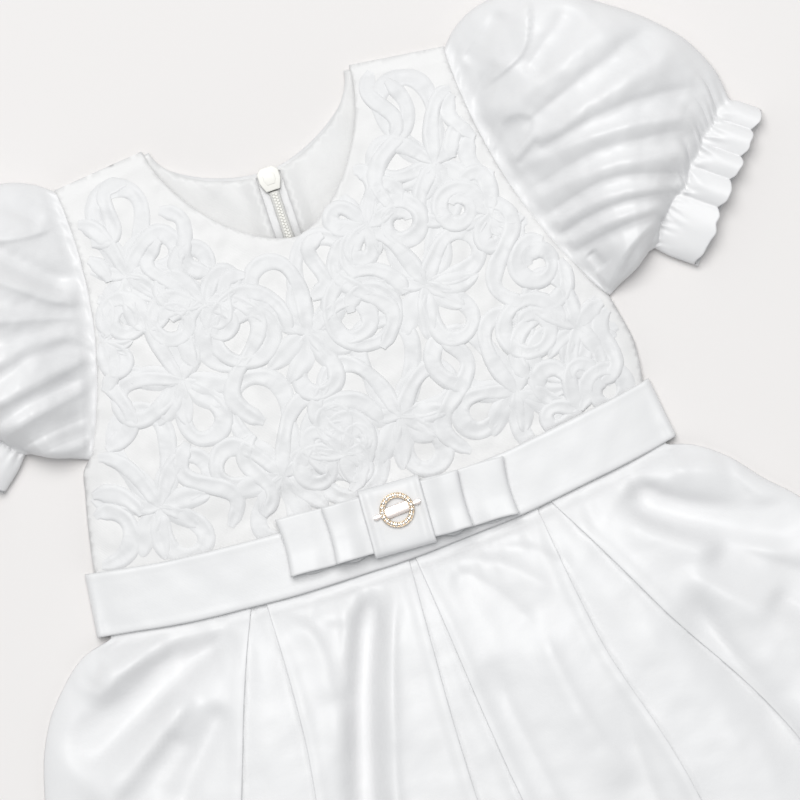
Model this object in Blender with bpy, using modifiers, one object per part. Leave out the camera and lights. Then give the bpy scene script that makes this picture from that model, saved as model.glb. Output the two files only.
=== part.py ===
"""Baby dress laid flat on its back: ribbon-work bodice, puff sleeves, satin belt with a tailored bow and
a ring buckle, box-pleated satin skirt, and a zip down the centre back.

Sizes below are millimetres, and put() turns them into metres. X runs to the wearer's left, Y to the neck,
Z up from the surface that the dress lies on.
"""

import math
from collections import namedtuple

import bmesh
import bpy
import numpy as np
from mathutils import Matrix, Vector
from mathutils.geometry import delaunay_2d_cdt

MM = 0.001


def table(columns, rows):
    """A short table: one row for each section or fold, read by column name."""
    row_type = namedtuple("Row", columns)
    return [row_type(*row) for row in rows]


# Cloth and seams
BODICE_WALL = 1.2
SATIN_WALL = 1.0
GAP = 0.3
LINING_GAP = 0.6

# Waist and belt
BELT_HALF_WIDTH = 130.0
BELT_HALF_HEIGHT = 14.0
BELT_SPLAY = 0.125
BELT_MIDDLE_Y = -11.5
BELT_SAG = 11.8
BELT_TILT = 0.0138
SEAM_BELOW_BELT_MIDDLE = 3.0
WAIST_EDGE_Z = 4.3
WAIST_MIDDLE_Z = 11.2
WAIST_HALF_WIDTH = 126.0
BELT_WALL = 1.2
BELT_LIFT = BELT_WALL + GAP
BELT_CLEARANCE = 0.55

# Bodice: y of the section, its left and right edge, outer height at the edge and in the middle
BODICE = table(
    "y left right edge middle",
    [
        (-16, -125.0, 125.2, 4.3, 10.7),
        (4, -124.6, 125.2, 4.3, 10.7),
        (15, -123.4, 125.4, 4.3, 10.8),
        (23, -122.0, 126.6, 4.1, 12.0),
        (32, -120.2, 127.4, 3.0, 12.9),
        (46, -116.8, 125.2, 2.9, 13.6),
        (54, -114.8, 123.4, 3.1, 13.9),
        (64, -105.0, 117.5, 4.8, 14.0),
        (80, -98.2, 108.6, 7.0, 14.0),
        (105, -93.0, 100.0, 8.4, 13.8),
        (130, -90.0, 94.4, 8.6, 13.2),
        (155, -89.6, 91.2, 8.0, 12.2),
        (185, -88.2, 90.0, 7.0, 10.8),
    ],
)
BODICE_ROUND = 3.2
BODICE_FULLNESS = 0.7
SHOULDER_Z = 5.3
SHOULDER_ROLL = 16.0

# Outlines: points along each stretch of a bodice outline, and a margin that keeps two stretches apart
WAIST_STEPS, LEFT_SIDE_STEPS, RIGHT_SIDE_STEPS = 14, 6, 8
ARMHOLE_STEPS, SHOULDER_STEPS, NECK_STEPS = 14, 4, 20
STRETCH_MARGIN = 2.0
FRONT_SPACING, BACK_SPACING = 15.0, 22.0

# Lining of the back: how far its edges lie inside those of the back
LINING_SIDE_INSET = 8.0
LINING_NECK_INSET = 1.4
LINING_ABOVE_BELT = 26.0
LINING_ZIP_EDGE = 5.6
LINING_INSET_STARTS, LINING_INSET_GROWS = 24.0, 60.0

# Neck: both neck points, and how far each neckline drops below the line between them
NECK_RIGHT = Vector((-47.4, 176.8))
NECK_LEFT = Vector((48.8, 183.7))
FRONT_NECK_DROP = 59.5
BACK_NECK_DROP = 28.5
NECK_POWER = 1.24

# Armholes: shoulder end and underarm on each side, and how far the edge curves in towards the body
Armhole = namedtuple("Armhole", "shoulder underarm")
ARMHOLES = {
    "left": Armhole(Vector((90.0, 178.5)), Vector((123.4, 54.4))),
    "right": Armhole(Vector((-88.2, 172.8)), Vector((-110.2, 58.2))),
}
ARMHOLE_CURVE = 9.3

# Ribbon work: sprays of looped ribbon, their foot, the way they face, their size, and 1 or -1 for the hand
RIBBON_HALF_WIDTH = 2.7
RIBBON_HEIGHT = 1.4
SPRAYS = table(
    "x y turn size hand",
    [
        (-88, 30, 14, 1.05, 1),
        (-34, 26, -16, 1.10, -1),
        (22, 34, 10, 1.05, 1),
        (72, 28, 24, 1.00, -1),
        (106, 46, -10, 0.80, 1),
        (-62, 78, 20, 1.10, -1),
        (-4, 80, -14, 1.05, 1),
        (50, 84, 12, 1.10, 1),
        (-70, 128, 6, 0.95, 1),
        (70, 132, -8, 1.00, -1),
    ],
)
# The loops of one spray: kind, direction from the foot, length and width
LOOPS = table(
    "kind angle length width steps",
    [
        ("petal", 16, 40, 22, 8),
        ("petal", -32, 34, 18, 7),
        ("petal", 76, 26, 15, 6),
        ("petal", 172, 25, 15, 6),
        ("rosette", -84, 25, 30, 12),
    ],
)
# Single scrolls of ribbon between the sprays: both ends and how far each half swings out
SCROLLS = table(
    "x0 y0 x1 y1 bend",
    [
        (-102, 60, -80, 106, 9),
        (-34, 50, -32, 106, -10),
        (24, 64, 24, 114, 9),
        (88, 62, 84, 112, -9),
        (-80, 146, -58, 166, 6),
        (48, 118, 62, 172, -8),
        (-62, 12, -68, 52, 8),
        (46, 10, 48, 60, -9),
        (-8, 10, -2, 58, 8),
    ],
)
SCROLL_STEPS = 7
ROSETTE_TURNS = 1.45
ROSETTE_CORE = 0.40

# Skirt: how far below the waist seam at the side, the two edges, outer height at the edge and in the middle
SKIRT = table(
    "drop left right edge middle",
    [
        (0, -125.0, 125.2, 4.3, 10.8),
        (11.5, -126.0, 126.4, 4.2, 10.8),
        (15, -139.0, 136.5, 2.7, 13.0),
        (25, -152.0, 150.0, 2.5, 16.8),
        (38, -163.0, 161.0, 2.4, 19.0),
        (53, -170.5, 175.0, 2.4, 20.5),
        (75, -177.0, 185.5, 2.4, 21.5),
        (110, -188.0, 198.0, 2.4, 21.8),
        (150, -202.0, 212.0, 2.4, 21.4),
        (210, -226.5, 236.5, 2.4, 20.4),
        (270, -252.0, 262.0, 2.4, 19.4),
    ],
)
SKIRT_ROUND = 3.0
SKIRT_FULLNESS = 0.6
MIDDLE_LENGTH_SHARE = 0.11

# Inverted box pleats of the skirt front: place across, width it opens to, and how fast it opens
PLEATS = table(
    "across opens rate",
    [
        (-0.478, 70, 0.38),
        (0.045, 50, 0.21),
        (0.557, 80, 0.50),
    ],
)
PLEAT_DEPTH = 21.0
PLEAT_LEAST_DEPTH = 3.5
PLEAT_LEAST_GAP = 0.9
PLEAT_TURN = 1.25
PLEAT_STEP = 0.55
PANEL_COLUMNS = 5
BACK_COLUMNS = 10

# Troughs and ridges of the skirt front: both ends, half width at each end, sideways bend, and height
SKIRT_FOLDS = table(
    "x0 y0 x1 y1 wide0 wide1 bend height",
    [
        (-74, -24, -158, -60, 5, 11, 0, -7.0),
        (-106, -22, -150, -36, 6, 8, 2, 2.2),
        (100, -28, 178, -74, 5, 12, -3, -8.0),
        (-12, -30, -52, -128, 3, 7, -2, -5.0),
        (-2, -34, -36, -120, 4, 8, -2, 2.0),
        (-70, -150, -104, -300, 9, 15, 4, -5.0),
        (-150, -120, -196, -280, 10, 16, -4, -4.5),
        (38, -60, 52, -150, 8, 12, 3, -2.2),
        (30, -170, 38, -312, 10, 16, 0, -5.0),
        (126, -60, 176, -112, 6, 10, 2, -3.4),
        (122, -110, 168, -288, 8, 15, 5, -5.0),
        (196, -130, 226, -270, 9, 14, 0, -4.0),
        (-22, -200, -30, -315, 9, 14, 2, 3.0),
        (84, -210, 98, -305, 9, 14, 0, 3.2),
    ],
)
# Flutes of the skirt back, which arch up off the surface between flat stretches
BACK_FLUTES = table(
    "across wide height",
    [
        (-0.82, 0.05, 2.6),
        (-0.58, 0.05, 3.2),
        (-0.30, 0.05, 2.8),
        (0.30, 0.05, 3.0),
        (0.55, 0.05, 3.2),
        (0.80, 0.05, 2.6),
    ],
)

# Puff sleeve on the wearer's left: upper and lower outline, height of the puff and of its side fold,
# share of the armhole's curve, and share of the gathers
SLEEVE = table(
    "upper_x upper_y lower_x lower_y top side curve gather",
    [
        (90.4, 178.4, 123.9, 54.6, 8.0, 2.2, 1.00, 0.0),
        (97.0, 184.6, 126.8, 56.4, 13.0, 3.2, 0.72, 0.6),
        (108.0, 190.0, 130.2, 58.2, 22.0, 5.0, 0.35, 0.9),
        (122.5, 192.0, 133.5, 59.6, 30.0, 6.5, 0.10, 1.0),
        (140.5, 187.4, 136.6, 61.0, 34.0, 7.5, 0.0, 1.0),
        (158.5, 175.4, 139.4, 62.6, 34.0, 7.5, 0.0, 1.0),
        (176.0, 162.2, 141.8, 64.4, 31.0, 7.0, 0.0, 1.0),
        (190.5, 145.8, 144.4, 66.2, 24.0, 6.0, 0.0, 0.9),
        (197.0, 130.5, 146.0, 67.6, 16.0, 4.8, 0.0, 0.7),
        (198.4, 119.0, 147.2, 68.6, 11.5, 4.0, 0.0, 0.2),
        (204.4, 114.4, 153.4, 62.4, 12.0, 4.0, 0.0, 0.0),
        (211.0, 109.4, 163.6, 54.4, 12.6, 4.0, 0.0, 0.0),
    ],
)
ELASTIC_ROW = 9
# Folds of the puff: place round the armhole and round the cuff, half width, and depth
SLEEVE_FOLDS = table(
    "start end wide depth",
    [
        (0.10, 0.16, 0.030, -4.0),
        (0.24, 0.28, 0.035, -5.0),
        (0.36, 0.42, 0.028, -3.6),
        (0.47, 0.55, 0.038, -5.0),
        (0.58, 0.66, 0.026, -3.6),
        (0.70, 0.76, 0.034, -4.4),
        (0.84, 0.88, 0.026, -3.0),
    ],
)
CUFF_GATHERS = 11
CUFF_GATHER_HEIGHT = 1.1
FRILL_WAVES = 6
FRILL_WAVE_HEIGHT = 2.0
FRILL_WAVE_REACH = 1.6
SLEEVE_FRONT_STEPS = 32
SLEEVE_BACK_STEPS = 6

# Tailored bow: two flat tubes of satin, one on the other, and the strap round their middle
BOW_X, BOW_Y, BOW_TURN = 7.0, -6.3, math.radians(-2.8)
BOW = table(
    "name length height grip centre_low centre_high end_low end_high flare",
    [
        ("bow_lower_loop", 99.0, 25.2, 31.0, 14.7, 17.5, 13.4, 18.2, 1.2),
        ("bow_upper_loop", 59.0, 24.8, 14.6, 17.9, 20.8, 18.4, 23.0, 0.8),
    ],
)
STRAP_WIDTH, STRAP_HEIGHT = 27.0, 30.0
STRAP_LOW, STRAP_HIGH = 13.3, 22.2
LOOP_RISE = 9.0

# Ring buckle on the strap
BUCKLE_X, BUCKLE_Y = 8.0, -3.4
BUCKLE_RADIUS, BUCKLE_TUBE = 6.35, 1.15
BUCKLE_BAR_LENGTH, BUCKLE_BAR_WIDTH, BUCKLE_BAR_THICKNESS = 21.5, 3.6, 1.2
BUCKLE_TURN = math.radians(3.0)

# Zip
ZIP_X = 1.0
ZIP_TOP_Y, ZIP_END_Y = 142.6, -96.0
CHAIN_WIDTH, CHAIN_HEIGHT = 4.4, 1.5
CHAIN_LIFT = 0.4
SLIDER_Y0, SLIDER_Y1 = 143.0, 153.4
SLIDER_WIDTH, SLIDER_NOSE_WIDTH, SLIDER_HEIGHT = 9.6, 6.2, 2.4
TAB_LIFT = 2.5
TAB_SPACE_HALF_WIDTH, TAB_SPACE_FADE = 5.4, 9.0
TAB_SPACE_Y = 126.0
EYE_Y, EYE_Z, EYE_RADIUS = 148.0, 1.4, 0.8
NECK_HALF_WIDTH, NECK_HALF_LENGTH, NECK_LOW = 0.7, 1.7, 0.12
PIN_RADIUS = 0.4
TAB_LENGTH, TAB_WIDTH, TAB_THICKNESS = 18.0, 5.6, 1.0
TAB_DROOP = math.radians(2.6)
TAB_WINDOW_HALF_WIDTH, TAB_WINDOW_LENGTH = 1.2, 3.2
PARTED_HALF_WIDTH = 1.3
CHAIN_YS = (ZIP_TOP_Y, 137, 131, 126, 121, 117, 110, 80, 40, 16, 12, 9, 6, 2)
CHAIN_YS += (-14, -27, -30, -33, -36, -40, -60, ZIP_END_Y)
CHAIN_TOP_HALF_WIDTH, CHAIN_SHOULDER_SHARE = 0.7, 0.6

COLOURS = {
    "satin": ((0.90, 0.90, 0.91), 0.36, 0.0),
    "ribbon_net": ((0.90, 0.90, 0.90), 0.60, 0.0),
    "lining": ((0.88, 0.88, 0.87), 0.55, 0.0),
    "zip": ((0.86, 0.85, 0.79), 0.45, 0.0),
    "gold": ((0.86, 0.66, 0.50), 0.22, 1.0),
}


def smooth(share):
    share = min(max(share, 0.0), 1.0)
    return share * share * (3 - 2 * share)


def mix(a, b, share):
    return a + (b - a) * share


def read(rows, key, at, column):
    """The column's value at a key between the rows, on a smooth curve that never overshoots."""
    keys = [getattr(row, key) for row in rows]
    values = [getattr(row, column) for row in rows]
    return curve_through(keys, values, at)


def curve_through(keys, values, at):
    last = len(keys) - 1
    if at <= keys[0]:
        return values[0]
    if at >= keys[last]:
        return values[last]
    i = max(k for k in range(last) if keys[k] <= at)
    slopes = [(values[k + 1] - values[k]) / (keys[k + 1] - keys[k]) for k in range(last)]
    before, after = slopes[max(i - 1, 0)], slopes[min(i + 1, last - 1)]
    start = 0.0 if before * slopes[i] <= 0 else 2 * before * slopes[i] / (before + slopes[i])
    end = 0.0 if after * slopes[i] <= 0 else 2 * after * slopes[i] / (after + slopes[i])
    start = slopes[0] if i == 0 else start
    end = slopes[i] if i == last - 1 else end
    width = keys[i + 1] - keys[i]
    s = (at - keys[i]) / width
    ease = s * s * (3 - 2 * s)
    leave = s * (1 - s) * (1 - s) * width * start
    arrive = s * s * (1 - s) * width * end
    return mix(values[i], values[i + 1], ease) + leave - arrive


def fold_height(rows, x, y):
    """Sum of the soft troughs and ridges at a point."""
    total = 0.0
    for fold in rows:
        ax, ay = fold.x1 - fold.x0, fold.y1 - fold.y0
        length = math.hypot(ax, ay)
        along = ((x - fold.x0) * ax + (y - fold.y0) * ay) / length**2
        if not -0.15 < along < 1.15:
            continue
        aside = ((x - fold.x0) * ay - (y - fold.y0) * ax) / length
        aside -= fold.bend * 4 * along * (1 - along)
        wide = mix(fold.wide0, fold.wide1, along)
        ends = smooth((along + 0.15) / 0.3) * smooth((1.15 - along) / 0.3)
        total += fold.height * ends * math.exp(-((aside / wide) ** 2))
    return total


# Waist and belt lines


def belt_y(x):
    return BELT_MIDDLE_Y + BELT_SAG * (x / BELT_HALF_WIDTH) ** 2 + BELT_TILT * x


def seam_y(x):
    return belt_y(x) - SEAM_BELOW_BELT_MIDDLE


def rounded(across, power, fullness):
    return max(0.0, 1 - min(abs(across), 1.0) ** power) ** fullness


def waist_z(x):
    """Outer height of the pieces that the belt covers in front."""
    rise = rounded(x / WAIST_HALF_WIDTH, BODICE_ROUND, BODICE_FULLNESS)
    return mix(WAIST_EDGE_Z, WAIST_MIDDLE_Z, rise)


def under_belt(x, y):
    """1 where the belt lies under the back pieces, 0 away from it."""
    return smooth((BELT_HALF_HEIGHT + 6.5 - abs(y - belt_y(x))) / 5.0)


# Bodice surfaces


def shoulder_y(x):
    """The line of both shoulders, from neck point to shoulder end."""
    if x > 0:
        ends = (NECK_LEFT, ARMHOLES["left"].shoulder)
    else:
        ends = (NECK_RIGHT, ARMHOLES["right"].shoulder)
    share = (x - ends[0].x) / (ends[1].x - ends[0].x)
    return mix(ends[0].y, ends[1].y, share)


def bodice_z(x, y):
    """Outer height of the bodice front, without the ribbon."""
    left, right = read(BODICE, "y", y, "left"), read(BODICE, "y", y, "right")
    across = (2 * x - left - right) / (right - left)
    edge, middle = read(BODICE, "y", y, "edge"), read(BODICE, "y", y, "middle")
    z = mix(edge, middle, rounded(across, BODICE_ROUND, BODICE_FULLNESS))
    return mix(SHOULDER_Z, z, smooth((shoulder_y(x) - y) / SHOULDER_ROLL))


def back_z(x, y):
    """Height of the back's outer face, which rests flat but for the belt and the zip's tab under it."""
    lift = BELT_LIFT * under_belt(x, y)
    aside = smooth((TAB_SPACE_HALF_WIDTH + TAB_SPACE_FADE - abs(x - ZIP_X)) / TAB_SPACE_FADE)
    return lift + TAB_LIFT * aside * smooth((y - TAB_SPACE_Y + TAB_SPACE_FADE) / TAB_SPACE_FADE)


def back_inner_z(x, y):
    return back_z(x, y) + BODICE_WALL


def lining_z(x, y):
    """Upper, inner face of the lining, one wall above the back."""
    return back_inner_z(x, y) + LINING_GAP + SATIN_WALL


BEND_ROWS = [belt_y(ZIP_X) + BELT_HALF_HEIGHT + above for above in (1.3, 6.8)]


def back_bends(sign):
    """Lines along which the back's height changes: above the belt, and round the place of the tab."""
    lines = []
    for above in (BELT_HALF_HEIGHT + 1.3, BELT_HALF_HEIGHT + 6.8):
        xs = [ZIP_X + sign * across for across in (2, 16, 32, 48, 64, 80, 96, 110, 120)]
        lines.append([Vector((x, belt_y(x) + above)) for x in xs])
    near = TAB_SPACE_HALF_WIDTH + 0.4
    far = TAB_SPACE_HALF_WIDTH + TAB_SPACE_FADE
    for across in (near, far):
        x = ZIP_X + sign * across
        lines.append([Vector((x, y)) for y in (TAB_SPACE_Y - TAB_SPACE_FADE, TAB_SPACE_Y + 1, 139, 149)])
    return lines


# Outlines


def line(a, b, steps):
    return [Vector(a).lerp(Vector(b), i / steps) for i in range(steps)]


def armhole_point(side, share):
    """Share 0 is the shoulder end and 1 the underarm."""
    hole = ARMHOLES[side]
    chord = hole.underarm - hole.shoulder
    inward = Vector((chord.y, -chord.x)).normalized()
    if side == "right":
        inward = -inward
    curve = ARMHOLE_CURVE * math.sin(math.pi * min(max(share, 0.0), 1.0)) ** 0.8
    return hole.shoulder + chord * share + inward * curve


def neck_point(share, drop):
    """Share 0 is the wearer's left neck point and 1 the right one."""
    middle = (NECK_LEFT + NECK_RIGHT) / 2
    half = (NECK_LEFT - NECK_RIGHT) / 2
    down = Vector((half.y, -half.x)).normalized()
    angle = math.pi * share
    across = math.copysign(abs(math.cos(angle)) ** NECK_POWER, math.cos(angle))
    return middle + half * across + down * drop * max(math.sin(angle), 0.0) ** NECK_POWER


def side_edge(column, y0, y1, steps):
    points = []
    for i in range(steps):
        y = mix(y0, y1, i / steps)
        points.append(Vector((read(BODICE, "y", y, column), y)))
    return points


def bodice_outline(neck_drop):
    """Closed outline of the whole bodice, from the right waist corner, anticlockwise."""
    points = []
    for i in range(WAIST_STEPS):
        x = mix(BODICE[0].left, BODICE[0].right, i / WAIST_STEPS)
        points.append(Vector((x, seam_y(x) + GAP)))
    corner_left = seam_y(BODICE[0].right) + GAP
    corner_right = seam_y(BODICE[0].left) + GAP
    arm = ARMHOLES["left"]
    points += side_edge("right", corner_left, arm.underarm.y - STRETCH_MARGIN, LEFT_SIDE_STEPS)
    points += [armhole_point("left", 1 - i / ARMHOLE_STEPS) for i in range(ARMHOLE_STEPS)]
    points += line(arm.shoulder, NECK_LEFT, SHOULDER_STEPS)
    points += [neck_point(i / NECK_STEPS, neck_drop) for i in range(NECK_STEPS)]
    arm = ARMHOLES["right"]
    points += line(NECK_RIGHT, arm.shoulder, SHOULDER_STEPS)
    points += [armhole_point("right", i / ARMHOLE_STEPS) for i in range(ARMHOLE_STEPS)]
    points += side_edge("left", arm.underarm.y - 0.01, corner_right, RIGHT_SIDE_STEPS)
    return points


def lining_outline():
    """The back outline, drawn in at the sides and the neck, and ended above the belt."""
    points = []
    for p in bodice_outline(BACK_NECK_DROP):
        outward = (abs(p.x) - LINING_INSET_STARTS) / LINING_INSET_GROWS
        x = p.x - math.copysign(LINING_SIDE_INSET * smooth(outward), p.x)
        low = belt_y(x) + LINING_ABOVE_BELT
        points.append(Vector((x, max(p.y - LINING_NECK_INSET, low))))
    return points


def back_half(outline, side, gap_half_width):
    """The half of a back outline on one side of the zip; above the tab's place the edge parts for the slider."""
    sign = 1 if side == "left" else -1

    def edge_x(y):
        parted = smooth((y - (SLIDER_Y0 - 4)) / 5.0) * max(0.0, PARTED_HALF_WIDTH - gap_half_width)
        return ZIP_X + sign * (gap_half_width + parted)

    kept = [p for p in outline if sign * (p.x - ZIP_X) > 4.0]
    ys = [p.y for p in outline if abs(p.x - ZIP_X) < 12.0]
    low, high = min(ys), max(ys)
    bottom = Vector((edge_x(low), low))
    top = Vector((edge_x(high), min(p.y for p in outline if abs(p.x - ZIP_X) < 8 and p.y > 60)))
    rows = [mix(bottom.y, top.y, i / 16) for i in range(17)]
    rows = [y for y in rows if not belt_y(ZIP_X) + 10 < y < belt_y(ZIP_X) + 24]
    rows = sorted(rows + [y for y in BEND_ROWS if bottom.y < y])
    edge = [Vector((edge_x(y), y)) for y in rows]
    start = max(range(len(kept)), key=lambda i: (kept[i] - kept[i - 1]).length)
    kept = kept[start:] + kept[:start]
    return kept + (edge if (kept[-1] - edge[0]).length < (kept[-1] - edge[-1]).length else edge[::-1])


# Ribbon work


def petal(foot, angle, length, width, steps):
    """A teardrop loop that leaves the foot and comes back to it."""
    ahead = Vector((math.sin(angle), math.cos(angle)))
    aside = Vector((ahead.y, -ahead.x))
    points = []
    for i in range(steps + 1):
        turn = math.pi * i / steps
        points.append(foot + ahead * length * math.sin(turn) + aside * width / 2 * math.sin(2 * turn))
    return points


def rosette(foot, angle, distance, width, steps, hand):
    """A round loop that curls into its own middle."""
    ahead = Vector((math.sin(angle), math.cos(angle)))
    centre = foot + ahead * distance
    start = math.atan2(-ahead.y, -ahead.x)
    points = []
    for i in range(steps + 1):
        share = i / steps
        radius = width / 2 * mix(1.12, ROSETTE_CORE, share**1.4)
        turn = start + hand * 2 * math.pi * ROSETTE_TURNS * share
        points.append(centre + Vector((math.cos(turn), math.sin(turn))) * radius)
    return points


def scroll(row):
    """A ribbon that swings to one side and then to the other."""
    start, end = Vector((row.x0, row.y0)), Vector((row.x1, row.y1))
    ahead = end - start
    aside = Vector((ahead.y, -ahead.x)).normalized()
    points = []
    for i in range(SCROLL_STEPS + 1):
        share = i / SCROLL_STEPS
        points.append(start + ahead * share + aside * row.bend * math.sin(2 * math.pi * share))
    return points


def ribbon_lines():
    """Centre line of every ribbon on the bodice front."""
    lines = []
    for spray in SPRAYS:
        foot = Vector((spray.x, spray.y))
        for loop in LOOPS:
            angle = spray.hand * math.radians(loop.angle) - math.radians(spray.turn)
            length, width = loop.length * spray.size, loop.width * spray.size
            if loop.kind == "petal":
                lines.append(petal(foot, angle, length, width, loop.steps))
            else:
                lines.append(rosette(foot, angle, length, width, loop.steps, spray.hand))
    return lines + [scroll(row) for row in SCROLLS]


def ribbon_shown(x, y):
    """1 on the open bodice, 0 under the belt."""
    return smooth((y - belt_y(x) - BELT_HALF_HEIGHT + 1.0) / 2.5)


def distance_to_lines(lines, points):
    """Distance from each point to the nearest line."""
    starts = np.array([tuple(a) for ln in lines for a in ln[:-1]])
    ends = np.array([tuple(b) for ln in lines for b in ln[1:]])
    along = ends - starts
    lengths = (along**2).sum(axis=1)
    found = []
    for point in points:
        place = np.array((point.x, point.y))
        reach = np.clip(((place - starts) * along).sum(axis=1) / lengths, 0, 1)
        foot = starts + along * reach[:, None]
        found.append(math.sqrt(((foot - place) ** 2).sum(axis=1).min()))
    return found


def beside(ln, offset):
    """The line moved sideways."""
    moved = []
    for i, point in enumerate(ln):
        ahead = ln[min(i + 1, len(ln) - 1)] - ln[max(i - 1, 0)]
        if ahead.length < 1e-6:
            ahead = ln[min(i + 1, len(ln) - 1)] - point
        side = Vector((ahead.y, -ahead.x)).normalized()
        moved.append(point + side * offset)
    return moved


# Meshes and objects


def material(name):
    found = bpy.data.materials.get(name)
    if found:
        return found
    colour, roughness, metallic = COLOURS[name]
    made = bpy.data.materials.new(name)
    made.use_nodes = True
    shader = made.node_tree.nodes["Principled BSDF"]
    shader.inputs["Base Color"].default_value = (*colour, 1)
    shader.inputs["Roughness"].default_value = roughness
    shader.inputs["Metallic"].default_value = metallic
    return made


def put(name, mesh, material_name, collection):
    obj = bpy.data.objects.new(name, mesh)
    mesh.materials.append(material(material_name))
    mesh.transform(Matrix.Scale(MM, 4))
    mesh.shade_smooth()
    mesh.set_sharp_from_angle(angle=math.radians(50))
    collection.objects.link(obj)
    return obj


def solidify(obj, wall, offset):
    made = obj.modifiers.new("wall", "SOLIDIFY")
    made.thickness = wall * MM
    made.offset = offset
    made.use_even_offset = True
    made.use_quality_normals = True


def grid_object(name, rows, wall, offset, material_name, collection, ring=False):
    """A cloth wall through rows of points; ring joins each row's end to its start."""
    bm = bmesh.new()
    grid = [[bm.verts.new(p) for p in row] for row in rows]
    columns = len(rows[0])
    for upper, lower in zip(grid, grid[1:]):
        for i in range(columns if ring else columns - 1):
            j = (i + 1) % columns
            bm.faces.new((upper[i], lower[i], lower[j], upper[j]))
    mesh = bpy.data.meshes.new(name)
    bm.to_mesh(mesh)
    bm.free()
    obj = put(name, mesh, material_name, collection)
    solidify(obj, wall, offset)
    return obj


def inside(point, outline):
    hit = False
    for a, b in zip(outline, outline[1:] + outline[:1]):
        if (a.y > point.y) != (b.y > point.y):
            if point.x < mix(a.x, b.x, (point.y - a.y) / (b.y - a.y)):
                hit = not hit
    return hit


def filling(outline, spacing):
    """Loose points inside the outline, on a triangular grid."""
    closed = [outline + outline[:1]]
    low_x, high_x = min(p.x for p in outline), max(p.x for p in outline)
    low_y, high_y = min(p.y for p in outline), max(p.y for p in outline)
    points = []
    y, odd = low_y + spacing * 0.6, False
    while y < high_y:
        x = low_x + spacing * (0.9 if odd else 0.4)
        while x < high_x:
            point = Vector((x, y))
            if inside(point, outline) and distance_to_lines(closed, [point])[0] > spacing * 0.45:
                points.append(point)
            x += spacing
        y, odd = y + spacing * 0.86, not odd
    return points


def triangulated(outline, loose, lines):
    """Points and triangles that fill the outline, with an edge along each line."""
    points = list(outline)
    edges = []
    for ln in lines:
        first = len(points)
        points += ln
        edges += [(first + i, first + i + 1) for i in range(len(ln) - 1)]
    points += loose
    loop = [list(range(len(outline)))]
    made = delaunay_2d_cdt(points, edges, loop, 0, 0.1, False)
    kept = []
    for face in made[2]:
        middle = (made[0][face[0]] + made[0][face[1]] + made[0][face[2]]) / 3
        if inside(middle, outline):
            kept.append(list(face))
    return made[0], kept


def kept_inside(ln, outline, margin):
    """The stretches of a line that lie inside the outline, clear of its edge."""
    away = distance_to_lines([outline + outline[:1]], ln)
    stretches, current = [], []
    for point, distance in zip(ln, away):
        if distance > margin and inside(point, outline):
            current.append(point)
            continue
        stretches.append(current)
        current = []
    return [stretch for stretch in stretches + [current] if len(stretch) > 1]


def border_of(faces):
    """The loop of points round the outside of a triangulation, in order."""
    count = {}
    for face in faces:
        for a, b in zip(face, face[1:] + face[:1]):
            count[(a, b)] = True
    after = {a: b for a, b in count if (b, a) not in count}
    start = next(iter(after))
    loop = [start]
    while after[loop[-1]] != start:
        loop.append(after[loop[-1]])
    return loop


def normal_of(height, x, y, step=0.5):
    dx = (height(x + step, y) - height(x - step, y)) / (2 * step)
    dy = (height(x, y + step) - height(x, y - step)) / (2 * step)
    return Vector((-dx, -dy, 1)).normalized()


def panel_object(name, outline, height, wall, spacing, material_name, collection, lines=(), lift=None):
    """A cut panel: its upper face follows height plus lift, and its plain lower face is one wall below."""
    loose = filling(outline, spacing)
    inner_lines = []
    if lines:
        away = distance_to_lines(lines, loose)
        loose = [p for p, d in zip(loose, away) if d > RIBBON_HALF_WIDTH + 1.5]
    offsets = (0.0, -RIBBON_HALF_WIDTH, RIBBON_HALF_WIDTH) if lift else (0.0,)
    for centre in lines:
        for offset in offsets:
            inner_lines += kept_inside(beside(centre, offset), outline, 0.8)
    points, faces = triangulated(outline, loose, inner_lines)
    rim = border_of(faces)
    below_loose = loose if not lift else filling(outline, spacing * 1.3)
    below_lines = inner_lines if not lift else ()
    below, below_faces = triangulated([points[i].copy() for i in rim], below_loose, below_lines)
    raised = lift(points) if lift else [0.0] * len(points)
    bm = bmesh.new()
    top = [bm.verts.new((p.x, p.y, height(p.x, p.y) + r)) for p, r in zip(points, raised)]
    bottom = []
    for p in below:
        base = Vector((p.x, p.y, height(p.x, p.y)))
        bottom.append(bm.verts.new(base - normal_of(height, p.x, p.y) * wall))
    for face in faces:
        bm.faces.new([top[i] for i in face])
    for face in below_faces:
        bm.faces.new([bottom[i] for i in reversed(face)])
    for i, a in enumerate(rim):
        j = (i + 1) % len(rim)
        bm.faces.new((top[a], bottom[i], bottom[j], top[rim[j]]))
    bmesh.ops.recalc_face_normals(bm, faces=bm.faces)
    mesh = bpy.data.meshes.new(name)
    bm.to_mesh(mesh)
    bm.free()
    return put(name, mesh, material_name, collection)


# Bodice


def build_bodice_front(collection):
    lines = ribbon_lines()

    def lift(points):
        away = distance_to_lines(lines, points)
        return [
            RIBBON_HEIGHT * math.sqrt(max(0.0, 1 - (d / RIBBON_HALF_WIDTH) ** 2)) * ribbon_shown(p.x, p.y)
            for d, p in zip(away, points)
        ]

    outline = bodice_outline(FRONT_NECK_DROP)
    panel_object(
        "bodice_front", outline, bodice_z, BODICE_WALL, FRONT_SPACING, "ribbon_net", collection, lines, lift
    )


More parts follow.
